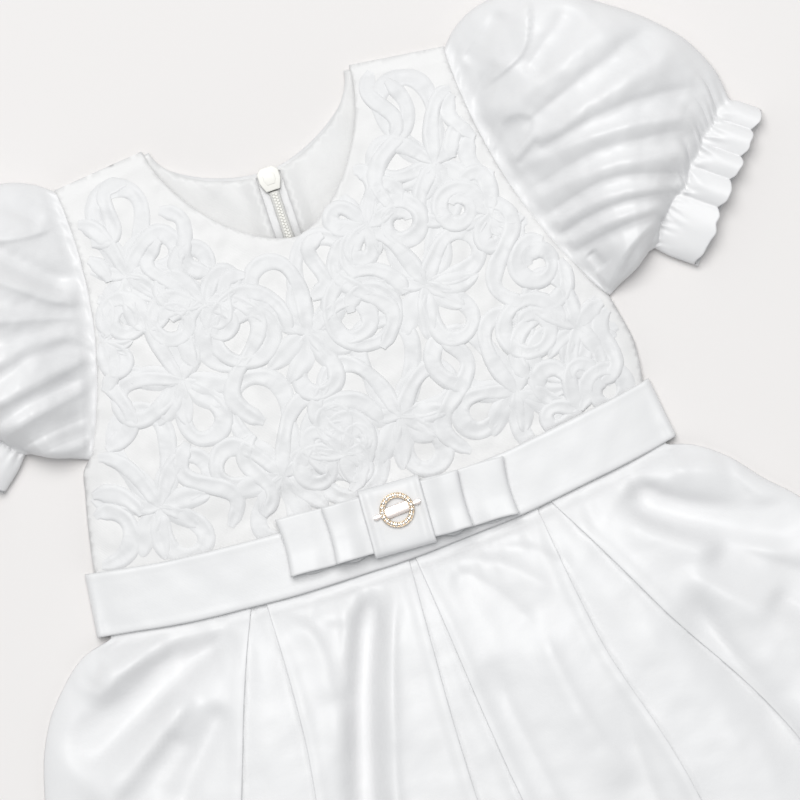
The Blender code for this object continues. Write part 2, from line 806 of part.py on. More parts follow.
def build_bodice_backs(collection):
    for side in ("left", "right"):
        bends = back_bends(1 if side == "left" else -1)
        shape = back_half(bodice_outline(BACK_NECK_DROP), side, 0.25)
        panel_object(
            f"bodice_back_{side}", shape, back_inner_z, BODICE_WALL, BACK_SPACING, "satin", collection, bends
        )
        shape = back_half(lining_outline(), side, LINING_ZIP_EDGE)
        panel_object(
            f"back_lining_{side}", shape, lining_z, SATIN_WALL, BACK_SPACING, "lining", collection, bends
        )


# Sleeves


def to_side(point, side):
    """Moves a point of the left sleeve's plan to the other sleeve, so that both armholes fit their own edge."""
    if side == "left":
        return point
    one, other = ARMHOLES["left"], ARMHOLES["right"]
    here = one.underarm - one.shoulder
    there = other.underarm - other.shoulder
    local = point - one.shoulder
    ahead, aside = local.dot(here) / here.length_squared, local.cross(here) / here.length_squared
    across = Vector((-there.y, there.x)) * (here.length / there.length)
    return other.shoulder + there * ahead + across * aside


def sleeve_value(row, column):
    return curve_through(list(range(len(SLEEVE))), [getattr(r, column) for r in SLEEVE], row)


def sleeve_point(row, angle, side):
    """Outer point of the sleeve: row runs from armhole to frill, angle 0 to pi is the front from top to bottom."""
    share = (1 - math.cos(angle)) / 2
    upper = Vector((sleeve_value(row, "upper_x"), sleeve_value(row, "upper_y")))
    lower = Vector((sleeve_value(row, "lower_x"), sleeve_value(row, "lower_y")))
    chord = lower - upper
    outward = Vector((-chord.y, chord.x)).normalized()
    curve = -ARMHOLE_CURVE * sleeve_value(row, "curve") * math.sin(math.pi * share) ** 0.8
    frill = smooth((row - ELASTIC_ROW) / (len(SLEEVE) - 1 - ELASTIC_ROW))
    wave = math.cos(2 * math.pi * FRILL_WAVES * share)
    front = angle < math.pi
    if front:
        curve += FRILL_WAVE_REACH * frill * wave
    plan = to_side(upper + chord * share + outward * curve, side)
    low, top = sleeve_value(row, "side"), sleeve_value(row, "top")
    if not front:
        flat = min(abs(math.sin(angle)), 1.0) ** 0.35
        return Vector((plan.x, plan.y, low * (1 - flat)))
    arch = math.sin(angle) ** 0.75
    z = mix(low, top, arch)
    if row < 1:
        seam = max(bodice_z(plan.x, plan.y), low)
        z = mix(mix(low, seam, min(1.0, math.sin(angle) * 4)), z, smooth(row))
    gather = sleeve_value(row, "gather")
    travel = row / ELASTIC_ROW
    for fold in SLEEVE_FOLDS:
        aside = (share - mix(fold.start, fold.end, travel)) / fold.wide
        z += fold.depth * gather * math.exp(-(aside**2)) * min(1.0, arch * 1.5)
    near_elastic = math.exp(-(((row - ELASTIC_ROW) / 1.1) ** 2))
    z += CUFF_GATHER_HEIGHT * near_elastic * math.cos(2 * math.pi * CUFF_GATHERS * share) * arch
    z += FRILL_WAVE_HEIGHT * frill * wave * arch
    return Vector((plan.x, plan.y, z))


def build_sleeves(collection):
    angles = [math.pi * i / SLEEVE_FRONT_STEPS for i in range(SLEEVE_FRONT_STEPS)]
    angles += [math.pi * (1 + i / SLEEVE_BACK_STEPS) for i in range(SLEEVE_BACK_STEPS)]
    for side in ("left", "right"):
        rows = [[sleeve_point(row, a, side) for a in angles] for row in range(len(SLEEVE))]
        if side == "left":
            rows = [row[::-1] for row in rows]
        grid_object(f"sleeve_{side}", rows, SATIN_WALL, -1, "satin", collection, ring=True)


# Belt


def belt_section(beyond):
    """Points round the waist from one side of the zip to the other, beyond the belt's half width."""
    half = BELT_HALF_WIDTH + beyond
    side = [(half - 5.0, 0.0), (half - 2.0, 0.35), (half - 0.4, 1.7), (half, 3.4)]
    side += [(half - 0.5, 5.0), (half - 2.0, 6.7)]
    top_x = [half - 5.0, half - 10.0, half - 18.0, 95.0, 75.0, 52.0, 26.0, 0.0]
    top = [(x, waist_z(min(x, WAIST_HALF_WIDTH)) + BELT_CLEARANCE + BELT_WALL) for x in top_x]
    right_half = [(x, 0.0) for x in (40.0, 90.0)] + side + top
    left_half = [(-x, z) for x, z in right_half]
    right_half = [(ZIP_X + 0.3, 0.0)] + right_half
    left_half = [(ZIP_X - 0.3, 0.0)] + left_half
    return right_half + left_half[-2::-1]


def build_belt(collection):
    rows = []
    for share in (-1, -0.5, 0, 0.5, 1):
        along = share * BELT_HALF_HEIGHT
        section = belt_section(-BELT_SPLAY * along)
        rows.append([Vector((x, belt_y(x) + along, z)) for x, z in section])
    grid_object("belt", rows, BELT_WALL, -1, "satin", collection)


# Bow


def placed(x, y, z, turn=BOW_TURN, centre=(BOW_X, BOW_Y)):
    c, s = math.cos(turn), math.sin(turn)
    return Vector((centre[0] + x * c - y * s, centre[1] + x * s + y * c, z))


def loop_section(loop, flare):
    """A closed flat loop in the bow's X and Z: pinched in the middle and fuller towards the ends."""
    half = loop.length / 2 + flare
    upper, lower = [(0.0, loop.centre_high)], [(0.0, loop.centre_low)]
    for share in (0.0, 0.35, 0.7, 1.0):
        x = mix(loop.grip, half - 3.0, share)
        full = smooth((x - loop.grip) / LOOP_RISE)
        upper.append((x, mix(loop.centre_high, loop.end_high, full)))
        lower.append((x, mix(loop.centre_low, loop.end_low, full)))
    end_mid = (loop.end_low + loop.end_high) / 2
    end_half = (loop.end_high - loop.end_low) / 2
    end = [
        (half - 1.0, end_mid + end_half * 0.86),
        (half, end_mid + end_half * 0.3),
        (half, end_mid - end_half * 0.3),
        (half - 1.0, end_mid - end_half * 0.86),
    ]
    one = upper[1:] + end + lower[:0:-1]
    other = [(-x, z) for x, z in reversed(one)]
    return [upper[0]] + one + [lower[0]] + other


def build_bow(collection):
    for loop in BOW:
        rows = []
        for share in (1, 0.4, -0.4, -1):
            section = loop_section(loop, loop.flare * share * share)
            y = share * loop.height / 2
            rows.append([placed(x, y, z) for x, z in section])
        grid_object(loop.name, rows, SATIN_WALL, -1, "satin", collection, ring=True)
    half = STRAP_HEIGHT / 2
    middle = (STRAP_LOW + STRAP_HIGH) / 2
    section = [(-half + 3, STRAP_LOW), (0, STRAP_LOW), (half - 3, STRAP_LOW), (half - 1, STRAP_LOW + 0.6)]
    section += [(half, STRAP_LOW + 2.2), (half, middle), (half - 0.3, STRAP_HIGH - 2.2)]
    section += [(half - 1.4, STRAP_HIGH - 0.6), (half - 3.4, STRAP_HIGH), (0, STRAP_HIGH)]
    section += [(-half + 3.4, STRAP_HIGH), (-half + 1.4, STRAP_HIGH - 0.6), (-half + 0.3, STRAP_HIGH - 2.2)]
    section += [(-half, middle), (-half, STRAP_LOW + 2.2), (-half + 1, STRAP_LOW + 0.6)]
    rows = []
    for share in (1, 0, -1):
        rows.append([placed(share * STRAP_WIDTH / 2, y, z) for y, z in section])
    grid_object("bow_strap", rows, SATIN_WALL, -1, "satin", collection, ring=True)


# Buckle


def build_buckle(collection, cutters):
    low = STRAP_HIGH + GAP
    ring_z = low + BUCKLE_TUBE
    bpy.ops.mesh.primitive_torus_add(
        location=(BUCKLE_X * MM, BUCKLE_Y * MM, ring_z * MM),
        rotation=(0, 0, BUCKLE_TURN),
        major_segments=24,
        minor_segments=6,
        major_radius=BUCKLE_RADIUS * MM,
        minor_radius=BUCKLE_TUBE * MM,
    )
    ring = bpy.context.object
    ring.name = "ring_buckle"
    ring.data.materials.append(material("gold"))
    ring.data.shade_smooth()
    move_to(ring, collection)
    bpy.ops.mesh.primitive_cube_add(
        size=1, location=(BUCKLE_X * MM, BUCKLE_Y * MM, (low + BUCKLE_BAR_THICKNESS / 2 + 0.05) * MM)
    )
    bar = bpy.context.object
    bar.name = "buckle_bar_shape"
    bar.rotation_euler = (0, 0, BUCKLE_TURN)
    for corner in bar.data.vertices:
        corner.co.x *= BUCKLE_BAR_LENGTH * MM
        corner.co.y *= BUCKLE_BAR_WIDTH * MM
        corner.co.z *= BUCKLE_BAR_THICKNESS * MM
    bevel = bar.modifiers.new("round", "BEVEL")
    bevel.width = 0.4 * MM
    bevel.segments = 2
    hide(bar, cutters)
    union = ring.modifiers.new("bar", "BOOLEAN")
    union.operation = "UNION"
    union.object = bar


def move_to(obj, collection):
    for owner in list(obj.users_collection):
        owner.objects.unlink(obj)
    collection.objects.link(obj)


def hide(obj, cutters):
    move_to(obj, cutters)
    obj.hide_render = True
    obj.display_type = "WIRE"


# Skirt


def skirt_plan(x, drop):
    """Place across, -1 to 1, and the y of a point at x on the row that lies this far below the seam."""
    left, right = read(SKIRT, "drop", drop, "left"), read(SKIRT, "drop", drop, "right")
    across = (2 * x - left - right) / (right - left)
    waist_x = mix(SKIRT[0].left, SKIRT[0].right, (min(max(across, -1), 1) + 1) / 2)
    longer = 1 + MIDDLE_LENGTH_SHARE * (1 - min(across * across, 1.0))
    return across, seam_y(waist_x) - GAP - drop * longer


def skirt_x(across, drop):
    left, right = read(SKIRT, "drop", drop, "left"), read(SKIRT, "drop", drop, "right")
    return mix(left, right, (across + 1) / 2)


def skirt_z(x, drop):
    """Outer height of the skirt front."""
    across, y = skirt_plan(x, drop)
    edge, middle = read(SKIRT, "drop", drop, "edge"), read(SKIRT, "drop", drop, "middle")
    z = mix(edge, middle, rounded(across, SKIRT_ROUND, SKIRT_FULLNESS))
    free = smooth((drop - 11.0) / 12.0) * min(1.0, rounded(across, SKIRT_ROUND, SKIRT_FULLNESS) * 1.3)
    covered = waist_z(min(max(x, -WAIST_HALF_WIDTH), WAIST_HALF_WIDTH))
    if drop < 15:
        z = mix(covered - 0.4, z, smooth((drop - 12.0) / 3.0))
    return z + free * fold_height(SKIRT_FOLDS, x, y)


def pleat_gap(pleat, drop):
    return PLEAT_LEAST_GAP + pleat.opens * (1 - math.exp(-drop * pleat.rate / pleat.opens))


def pleat_points(left, right, depth, drop):
    """One inverted pleat between its two fold edges: over the left fold, under, across, and back over the right."""
    turn, step = PLEAT_TURN, PLEAT_STEP

    def at(x, below):
        return x, skirt_z(min(max(x, left - turn), right + turn), drop) - below

    over_left = []
    for degrees in (0, 90, 180):
        a = math.radians(degrees)
        over_left.append(
            (left - turn + turn * math.sin(a), skirt_z(left - turn, drop) - turn + turn * math.cos(a))
        )
    deep_left, deep_right = left - turn - depth, right + turn + depth
    under = [at(deep_left, 2 * turn), at(deep_left, 2 * turn + step)]
    under += [at(mix(left, right, share), 2 * turn + step) for share in (0.1, 0.9)]
    under += [at(deep_right, 2 * turn + step), at(deep_right, 2 * turn)]
    over_right = []
    for degrees in (180, 90, 0):
        a = math.radians(degrees)
        over_right.append(
            (right + turn - turn * math.sin(a), skirt_z(right + turn, drop) - turn + turn * math.cos(a))
        )
    return over_left + under + over_right


def skirt_front_row(drop):
    row = []
    start = skirt_x(-1, drop)
    for pleat in PLEATS:
        centre, gap = skirt_x(pleat.across, drop), pleat_gap(pleat, drop)
        left, right = centre - gap / 2, centre + gap / 2
        depth = max(PLEAT_LEAST_DEPTH, PLEAT_DEPTH - gap / 4)
        row += panel_columns(start, left - PLEAT_TURN, drop, start == skirt_x(-1, drop))
        row += pleat_points(left, right, depth, drop)
        start = right + PLEAT_TURN
    row += panel_columns(start, skirt_x(1, drop), drop, False)
    end = skirt_x(1, drop)
    row.append((end, skirt_z(end, drop)))
    return [Vector((x, skirt_plan(x, drop)[1], z)) for x, z in row]


def panel_columns(x0, x1, drop, with_start):
    """Points across a flat panel between two pleats; the outer panels crowd towards the side edge."""
    points = []
    for i in range(0 if with_start else 1, PANEL_COLUMNS):
        share = i / PANEL_COLUMNS
        if with_start:
            share = share**1.6
        if x1 == skirt_x(1, drop):
            share = 1 - (1 - share) ** 1.6
        x = mix(x0, x1, share)
        points.append((x, skirt_z(x, drop)))
    return points


def build_skirt_front(collection):
    rows = [skirt_front_row(row.drop) for row in SKIRT]
    grid_object("skirt_front", rows, SATIN_WALL, -1, "satin", collection)


def skirt_back_z(across, x, y, drop):
    lift = BELT_LIFT * under_belt(x, y)
    open_share = smooth(drop / 60.0)
    for flute in BACK_FLUTES:
        height = flute.height * mix(0.15, 1.0, open_share) * (1 - under_belt(x, y))
        lift += height * math.exp(-(((across - flute.across) / flute.wide) ** 2))
    return lift


def build_skirt_backs(collection):
    for side, ends in (("left", (0, 1)), ("right", (-1, 0))):
        rows = []
        for section in SKIRT:
            row = []
            for i in range(BACK_COLUMNS + 1):
                across = mix(ends[0], ends[1], i / BACK_COLUMNS)
                x = skirt_x(across, section.drop)
                if across == 0:
                    x = ZIP_X + (GAP if side == "left" else -GAP)
                across, y = skirt_plan(x, section.drop)
                row.append(Vector((x, y, skirt_back_z(across, x, y, section.drop))))
            rows.append(row)
        grid_object(f"skirt_back_{side}", rows, SATIN_WALL, 1, "satin", collection)


# Zip


def back_top_z(y):
    """Inner face of the back pieces on the centre line."""
    if y > seam_y(ZIP_X):
        return back_inner_z(ZIP_X, y)
    return BELT_LIFT * under_belt(ZIP_X, y) + SATIN_WALL


def build_zip_chain(collection):
    half = CHAIN_WIDTH / 2
    rows = []
    for y in CHAIN_YS:
        around = [back_top_z(y + step) for step in (-3.0, -1.5, 0.0, 1.5, 3.0)]
        low = max(around) + CHAIN_LIFT
        shoulder, top = low + CHAIN_HEIGHT * CHAIN_SHOULDER_SHARE, low + CHAIN_HEIGHT
        one_side = [(half, low), (half, shoulder), (CHAIN_TOP_HALF_WIDTH, top)]
        rows.append([(-half, low)] + one_side + [(-CHAIN_TOP_HALF_WIDTH, top), (-half, shoulder)])
    bm = bmesh.new()
    grid = [[bm.verts.new((ZIP_X + x, y, z)) for x, z in row] for row, y in zip(rows, CHAIN_YS)]
    for upper, lower in zip(grid, grid[1:]):
        for i in range(6):
            j = (i + 1) % 6
            bm.faces.new((upper[i], upper[j], lower[j], lower[i]))
    bm.faces.new(grid[0])
    bm.faces.new(grid[-1][::-1])
    bmesh.ops.recalc_face_normals(bm, faces=bm.faces)
    mesh = bpy.data.meshes.new("zip_chain")
    bm.to_mesh(mesh)
    bm.free()
    put("zip_chain", mesh, "zip", collection)


def prism(name, outline, low, high):
    """A flat plate of this outline between two heights, as a mesh in millimetres."""
    bm = bmesh.new()
    base = [bm.verts.new((x, y, low)) for x, y in outline]
    face = bm.faces.new(base)
    lifted = bmesh.ops.extrude_face_region(bm, geom=[face])["geom"]
    top = [v for v in lifted if isinstance(v, bmesh.types.BMVert)]
    bmesh.ops.translate(bm, verts=top, vec=(0, 0, high - low))
    bmesh.ops.recalc_face_normals(bm, faces=bm.faces)
    mesh = bpy.data.meshes.new(name)
    bm.to_mesh(mesh)
    bm.free()
    return mesh


def cylinder(name, radius, length, x, y, z, segments):
    """A round bar along X, as a mesh in millimetres."""
    bm = bmesh.new()
    bmesh.ops.create_cone(bm, cap_ends=True, segments=segments, radius1=radius, radius2=radius, depth=length)
    bmesh.ops.rotate(bm, verts=bm.verts, matrix=Matrix.Rotation(math.pi / 2, 3, "Y"))
    bmesh.ops.translate(bm, verts=bm.verts, vec=(x, y, z))
    mesh = bpy.data.meshes.new(name)
    bm.to_mesh(mesh)
    bm.free()
    return mesh


def combine(target, name, mesh, operation, material_name, cutters):
    """Joins a shape to the target or cuts it away."""
    other = put(name, mesh, material_name, cutters)
    hide(other, cutters)
    made = target.modifiers.new(name, "BOOLEAN")
    made.operation = operation
    made.object = other


def slider_base_z():
    return max(back_inner_z(ZIP_X, SLIDER_Y0), back_inner_z(ZIP_X, SLIDER_Y1)) + GAP


def build_zip_slider(collection, cutters):
    wide, nose = SLIDER_WIDTH / 2, SLIDER_NOSE_WIDTH / 2
    low = slider_base_z()
    waist_line = mix(SLIDER_Y0, SLIDER_Y1, 0.42)
    shape = [(-nose, SLIDER_Y0), (nose, SLIDER_Y0), (wide, waist_line), (wide, SLIDER_Y1 - 2.0)]
    shape += [(wide - 2.0, SLIDER_Y1), (-wide + 2.0, SLIDER_Y1), (-wide, SLIDER_Y1 - 2.0), (-wide, waist_line)]
    shape = [(ZIP_X + x, y) for x, y in shape]
    slider = put("zip_slider", prism("zip_slider", shape, low, low + SLIDER_HEIGHT), "zip", collection)
    neck = [(-NECK_HALF_WIDTH, -NECK_HALF_LENGTH), (NECK_HALF_WIDTH, -NECK_HALF_LENGTH)]
    neck += [(NECK_HALF_WIDTH, NECK_HALF_LENGTH), (-NECK_HALF_WIDTH, NECK_HALF_LENGTH)]
    neck = [(ZIP_X + x, EYE_Y + y) for x, y in neck]
    combine(slider, "slider_neck", prism("slider_neck", neck, NECK_LOW, low + 1.0), "UNION", "zip", cutters)
    eye = cylinder("slider_eye", EYE_RADIUS, 4.0, ZIP_X, EYE_Y, EYE_Z, 16)
    combine(slider, "slider_eye", eye, "DIFFERENCE", "zip", cutters)


def build_zip_pull(collection, cutters):
    """The pull tab hangs from the slider's eye, on the outside of the back; its origin is on the hinge."""
    half, reach = TAB_WIDTH / 2, TAB_WINDOW_HALF_WIDTH
    end = -TAB_LENGTH
    frame = [(-half + 0.6, 0.0), (-half + 0.6, -3.0), (-half, -7.0), (-half, end + 2.4), (-half + 1.8, end + 0.4)]
    frame += [(0.0, end), (half - 1.8, end + 0.4), (half, end + 2.4), (half, -7.0), (half - 0.6, -3.0)]
    frame += [(half - 0.6, 0.0), (reach, 0.0), (reach, -TAB_WINDOW_LENGTH)]
    frame += [(-reach, -TAB_WINDOW_LENGTH), (-reach, 0.0)]
    thick = TAB_THICKNESS / 2
    pull = put("zip_pull", prism("zip_pull", frame[::-1], -thick, thick), "zip", collection)
    pin = cylinder("pull_pin", PIN_RADIUS, TAB_WIDTH - 1.4, 0.0, -0.05, 0.0, 12)
    combine(pull, "pull_pin", pin, "UNION", "zip", cutters)
    place = Vector((ZIP_X, EYE_Y, EYE_Z)) * MM
    for obj in (pull, cutters.objects["pull_pin"]):
        obj.location = place
        obj.rotation_euler = (TAB_DROOP, 0, 0)


# The whole dress


def clear_scene():
    for obj in list(bpy.data.objects):
        bpy.data.objects.remove(obj)


def new_collection(name):
    made = bpy.data.collections.new(name)
    bpy.context.scene.collection.children.link(made)
    return made


def stand_on_origin(collection, cutters):
    """Moves everything so that the middle of the dress's box is over the origin."""
    bpy.context.view_layer.update()
    graph = bpy.context.evaluated_depsgraph_get()
    low, high = Vector((1e9,) * 3), Vector((-1e9,) * 3)
    for obj in collection.objects:
        shown = obj.evaluated_get(graph)
        mesh = shown.to_mesh()
        for corner in mesh.vertices:
            place = shown.matrix_world @ corner.co
            low = Vector(map(min, low, place))
            high = Vector(map(max, high, place))
        shown.to_mesh_clear()
    shift = Vector((-(low.x + high.x) / 2, -(low.y + high.y) / 2, -low.z))
    for obj in list(collection.objects) + list(cutters.objects):
        obj.location += shift


def build_dress():
    clear_scene()
    dress, cutters = new_collection("baby_dress"), new_collection("cutters")
    build_bodice_front(dress)
    build_bodice_backs(dress)
    build_sleeves(dress)
    build_belt(dress)
    build_bow(dress)
    build_buckle(dress, cutters)
    build_skirt_front(dress)
    build_skirt_backs(dress)
    build_zip_chain(dress)
    build_zip_slider(dress, cutters)
    build_zip_pull(dress, cutters)
    stand_on_origin(dress, cutters)


build_dress()
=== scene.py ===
"""Looks of the baby dress: satin, ribbon work, puff sleeves, belt with bow and ring buckle, and zip.

Sizes are millimetres in the dress's own plan, and world() turns them into metres in the frame's place.
X runs to the wearer's left, Y to the neck, Z up from the surface that the dress lies on.
"""

import math

import bmesh
import bpy
import numpy as np
from mathutils import Matrix, Vector
from mathutils.geometry import delaunay_2d_cdt

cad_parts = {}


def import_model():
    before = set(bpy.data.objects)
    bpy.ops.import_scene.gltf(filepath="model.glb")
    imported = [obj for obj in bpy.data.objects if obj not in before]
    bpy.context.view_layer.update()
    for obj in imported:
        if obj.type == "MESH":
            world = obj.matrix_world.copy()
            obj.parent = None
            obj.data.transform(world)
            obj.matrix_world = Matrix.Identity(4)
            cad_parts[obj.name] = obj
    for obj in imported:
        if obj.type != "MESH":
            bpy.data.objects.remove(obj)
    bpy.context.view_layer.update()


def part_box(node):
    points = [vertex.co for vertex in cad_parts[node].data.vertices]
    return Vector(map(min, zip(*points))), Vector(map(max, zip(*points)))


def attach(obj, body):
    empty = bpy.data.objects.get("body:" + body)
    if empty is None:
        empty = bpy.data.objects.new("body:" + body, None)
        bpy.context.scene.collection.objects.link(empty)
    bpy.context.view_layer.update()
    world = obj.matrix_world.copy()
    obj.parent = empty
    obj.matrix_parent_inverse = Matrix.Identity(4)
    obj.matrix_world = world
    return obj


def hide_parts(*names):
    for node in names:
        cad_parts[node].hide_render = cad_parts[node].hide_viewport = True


MM = 0.001
BUCKLE_X, BUCKLE_Y = 8.0, -3.4

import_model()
ring_low, ring_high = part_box("ring_buckle")
ring_x, ring_y = (ring_low.x + ring_high.x) / 2 / MM, (ring_low.y + ring_high.y) / 2 / MM
SHIFT = np.array([ring_x - BUCKLE_X, ring_y - BUCKLE_Y, 0.0])

# Cloth, and the narrow crease beside the middle of each fold
CLOTH = 0.6
FOLD_SHARE, CREASE_SHARE, CREASE_PLACE, CREASE_WIDTH = 0.85, 0.18, 0.45, 0.3
SATIN_WALL = 1.0
BODICE_WALL = 1.2
GAP = 0.3
LINING_GAP = 0.6

# Waist and belt
BELT_HALF_WIDTH, BELT_HALF_HEIGHT = 130.0, 14.0
BELT_SPLAY, BELT_MIDDLE_Y, BELT_SAG, BELT_TILT = 0.125, -11.5, 11.8, 0.0138
SEAM_BELOW_BELT_MIDDLE = 3.0
WAIST_EDGE_Z, WAIST_MIDDLE_Z, WAIST_HALF_WIDTH = 4.3, 11.2, 126.0
BELT_WALL, BELT_CLEARANCE = 1.2, 0.55
BELT_LIFT = BELT_WALL + GAP
BELT_ROWS, LOOP_ROWS, STRAP_ROWS = 25, 25, 31

# Bodice sections: y, left edge, right edge, height at the edge, height in the middle
BODICE = np.array(
    [
        (-16, -125.0, 125.2, 4.3, 10.7),
        (4, -124.6, 125.2, 4.3, 10.7),
        (15, -123.4, 125.4, 4.3, 10.8),
        (23, -122.0, 126.6, 4.1, 12.0),
        (32, -120.2, 127.4, 3.0, 12.9),
        (46, -116.8, 125.2, 2.9, 13.6),
        (54, -114.8, 123.4, 3.1, 13.9),
        (64, -105.0, 117.5, 4.8, 14.0),
        (80, -98.2, 108.6, 7.0, 14.0),
        (105, -93.0, 100.0, 8.4, 13.8),
        (130, -90.0, 94.4, 8.6, 13.2),
        (155, -89.6, 91.2, 8.0, 12.2),
        (185, -88.2, 90.0, 7.0, 10.8),
    ]
)
BODICE_ROUND, BODICE_FULLNESS = 3.2, 0.7
SHOULDER_Z, SHOULDER_ROLL = 5.3, 16.0
LINING_SIDE_INSET, LINING_NECK_INSET, LINING_ABOVE_BELT, LINING_ZIP_EDGE = 8.0, 1.4, 26.0, 5.6

LINING_FOLDS = [
    (1.5, 2.5, 5, [(-17, 176), (-21, 160), (-24, 146)]),
    (1.0, 2, 4, [(-30, 160), (-17, 146), (-9, 128), (-8, 116)]),
    (0.8, 2, 3, [(-40, 168), (-32, 156), (-28, 144)]),
    (1.0, 2, 4, [(13, 158), (16, 140), (18, 120)]),
    (1.2, 2.5, 5, [(30, 172), (24, 158), (28, 132)]),
    (-0.6, 4, 4, [(40, 165), (42, 140)]),
]

# Neck and armholes
NECK_RIGHT, NECK_LEFT = np.array((-47.4, 176.8)), np.array((48.8, 183.7))
FRONT_NECK_DROP, BACK_NECK_DROP, NECK_POWER = 59.5, 28.5, 1.24
ARMHOLES = {
    "left": (np.array((90.0, 178.5)), np.array((123.4, 54.4))),
    "right": (np.array((-88.2, 172.8)), np.array((-110.2, 58.2))),
}
ARMHOLE_CURVE = 9.3
# Steps along the waist, a side, an armhole, a shoulder and the neck, before they are made finer
OUTLINE_STEPS = 14, 8, 14, 5, 18

# Ribbon work: foot of each spray, turn, size and hand
RIBBON_HALF_WIDTH, RIBBON_RISE, RIBBON_LIFT, LEAF_LIFT = 3.7, 0.78, 0.05, 0.08
SPRAYS = [
    (-88, 30, 14, 1.05, 1),
    (-34, 26, -16, 1.10, -1),
    (22, 34, 10, 1.05, 1),
    (72, 28, 24, 1.00, -1),
    (106, 46, -10, 0.80, 1),
    (-62, 78, 20, 1.10, -1),
    (-4, 80, -14, 1.05, 1),
    (50, 84, 12, 1.10, 1),
    (-70, 128, 6, 0.95, 1),
    (70, 132, -8, 1.00, -1),
    (-42, 106, 16, 0.62, 1),
    (34, 116, -20, 0.60, -1),
    (112, 84, 30, 0.60, 1),
    (-89, 104, 24, 0.56, -1),
    (86, 104, -22, 0.56, 1),
    (96, 12, 12, 0.58, -1),
    (-6, 26, 16, 0.50, 1),
]
# Petals and leaves of one spray: angle from the spray, length and width
PETALS = [(16, 40, 22), (-32, 34, 18), (76, 26, 15), (172, 25, 15)]
ROSETTE_ANGLE, ROSETTE_REACH, ROSETTE_WIDTH = -84, 25, 30
ROSETTE_TURNS, ROSETTE_CORE = 1.45, 0.40
LEAVES = [(50, 20, 8.5), (110, 19, 8.5), (206, 20, 8.0), (-8, 22, 8.5), (-128, 20, 8.5), (150, 16, 7.5)]
LEAVES += [(-58, 16, 7.5)]
RIBBON_STEP, EDGE_MARGIN, LEAST_STRETCH = 0.94, 3.0, 12
LEAF_ROWS, LEAF_COLUMNS, LEAF_SEED, RIBBON_SEED = 19, 9, 70, 100
# Single scrolls: start, end and bend
SCROLLS = [
    (-102, 60, -80, 106, 9),
    (-34, 50, -32, 106, -10),
    (24, 64, 24, 114, 9),
    (88, 62, 84, 112, -9),
    (-80, 146, -58, 166, 6),
    (48, 118, 62, 172, -8),
    (-44, 98, -22, 112, 5),
    (-58, 104, -52, 138, 7),
    (-62, 12, -68, 52, 8),
    (46, 10, 48, 60, -9),
    (-8, 10, -2, 58, 8),
    (-95, 84, -86, 128, 6),
    (84, 122, 90, 160, 6),
    (56, 146, 57, 178, 4),
    (-36, 118, -48, 150, -5),
    (108, 20, 124, 50, 5),
    (96, 58, 120, 96, 6),
    (2, 94, 15, 118, 5),
    (-47, 12, -40, 46, 5),
]

# Skirt sections: drop below the seam, left edge, right edge, height at the edge, height in the middle
SKIRT = np.array(
    [
        (0, -125.0, 125.2, 4.3, 10.8),
        (11.5, -126.0, 126.4, 4.2, 10.8),
        (15, -139.0, 136.5, 2.7, 13.0),
        (25, -152.0, 150.0, 2.5, 16.8),
        (38, -163.0, 161.0, 2.4, 19.0),
        (53, -170.5, 175.0, 2.4, 20.5),
        (75, -177.0, 185.5, 2.4, 21.5),
        (110, -188.0, 198.0, 2.4, 21.8),
        (150, -202.0, 212.0, 2.4, 21.4),
        (210, -226.5, 236.5, 2.4, 20.4),
        (270, -252.0, 262.0, 2.4, 19.4),
    ]
)
SKIRT_ROUND, SKIRT_FULLNESS, MIDDLE_LENGTH_SHARE = 3.0, 0.6, 0.11
# Inverted pleats: place at the waist, place lower down, widest opening and how fast it opens
PLEATS = [(-0.49, -0.485, 48, 0.60), (0.06, 0.035, 50, 0.19), (0.54, 0.555, 80, 0.55)]
PLEAT_DEPTH, PLEAT_LEAST_DEPTH, PLEAT_LEAST_GAP = 21.0, 3.5, 0.9
SKIRT_CLOTH, PLEAT_TURN, PLEAT_STEP, PLEAT_ROLL = 0.36, 0.42, 0.06, 1.2
PLEAT_TURN_POINTS, PLEAT_HIDDEN_POINTS, PLEAT_FLOOR_POINTS, PLEAT_FADE = 6, 8, 38, 7.0
FAN_START, FAN_END, SKIRT_FOLD_DEPTH, HIDDEN_DROP = 11.0, 200.0, 1.3, 1.3
SKIRT_DROP, SKIRT_TOP, SKIRT_UPPER, PANEL_POINTS = 270, 40, 130, 50
# The skirt front's folds go no lower than this, because the skirt back lies below them
SKIRT_LEAST_HEIGHT = 3.8
# Flutes of the skirt back: place across and height
BACK_FLUTES = [(-0.82, 1.4), (-0.58, 1.8), (-0.30, 2.2), (0.30, 2.0), (0.55, 1.8), (0.80, 1.4)]
FLUTE_WIDTH = 0.05

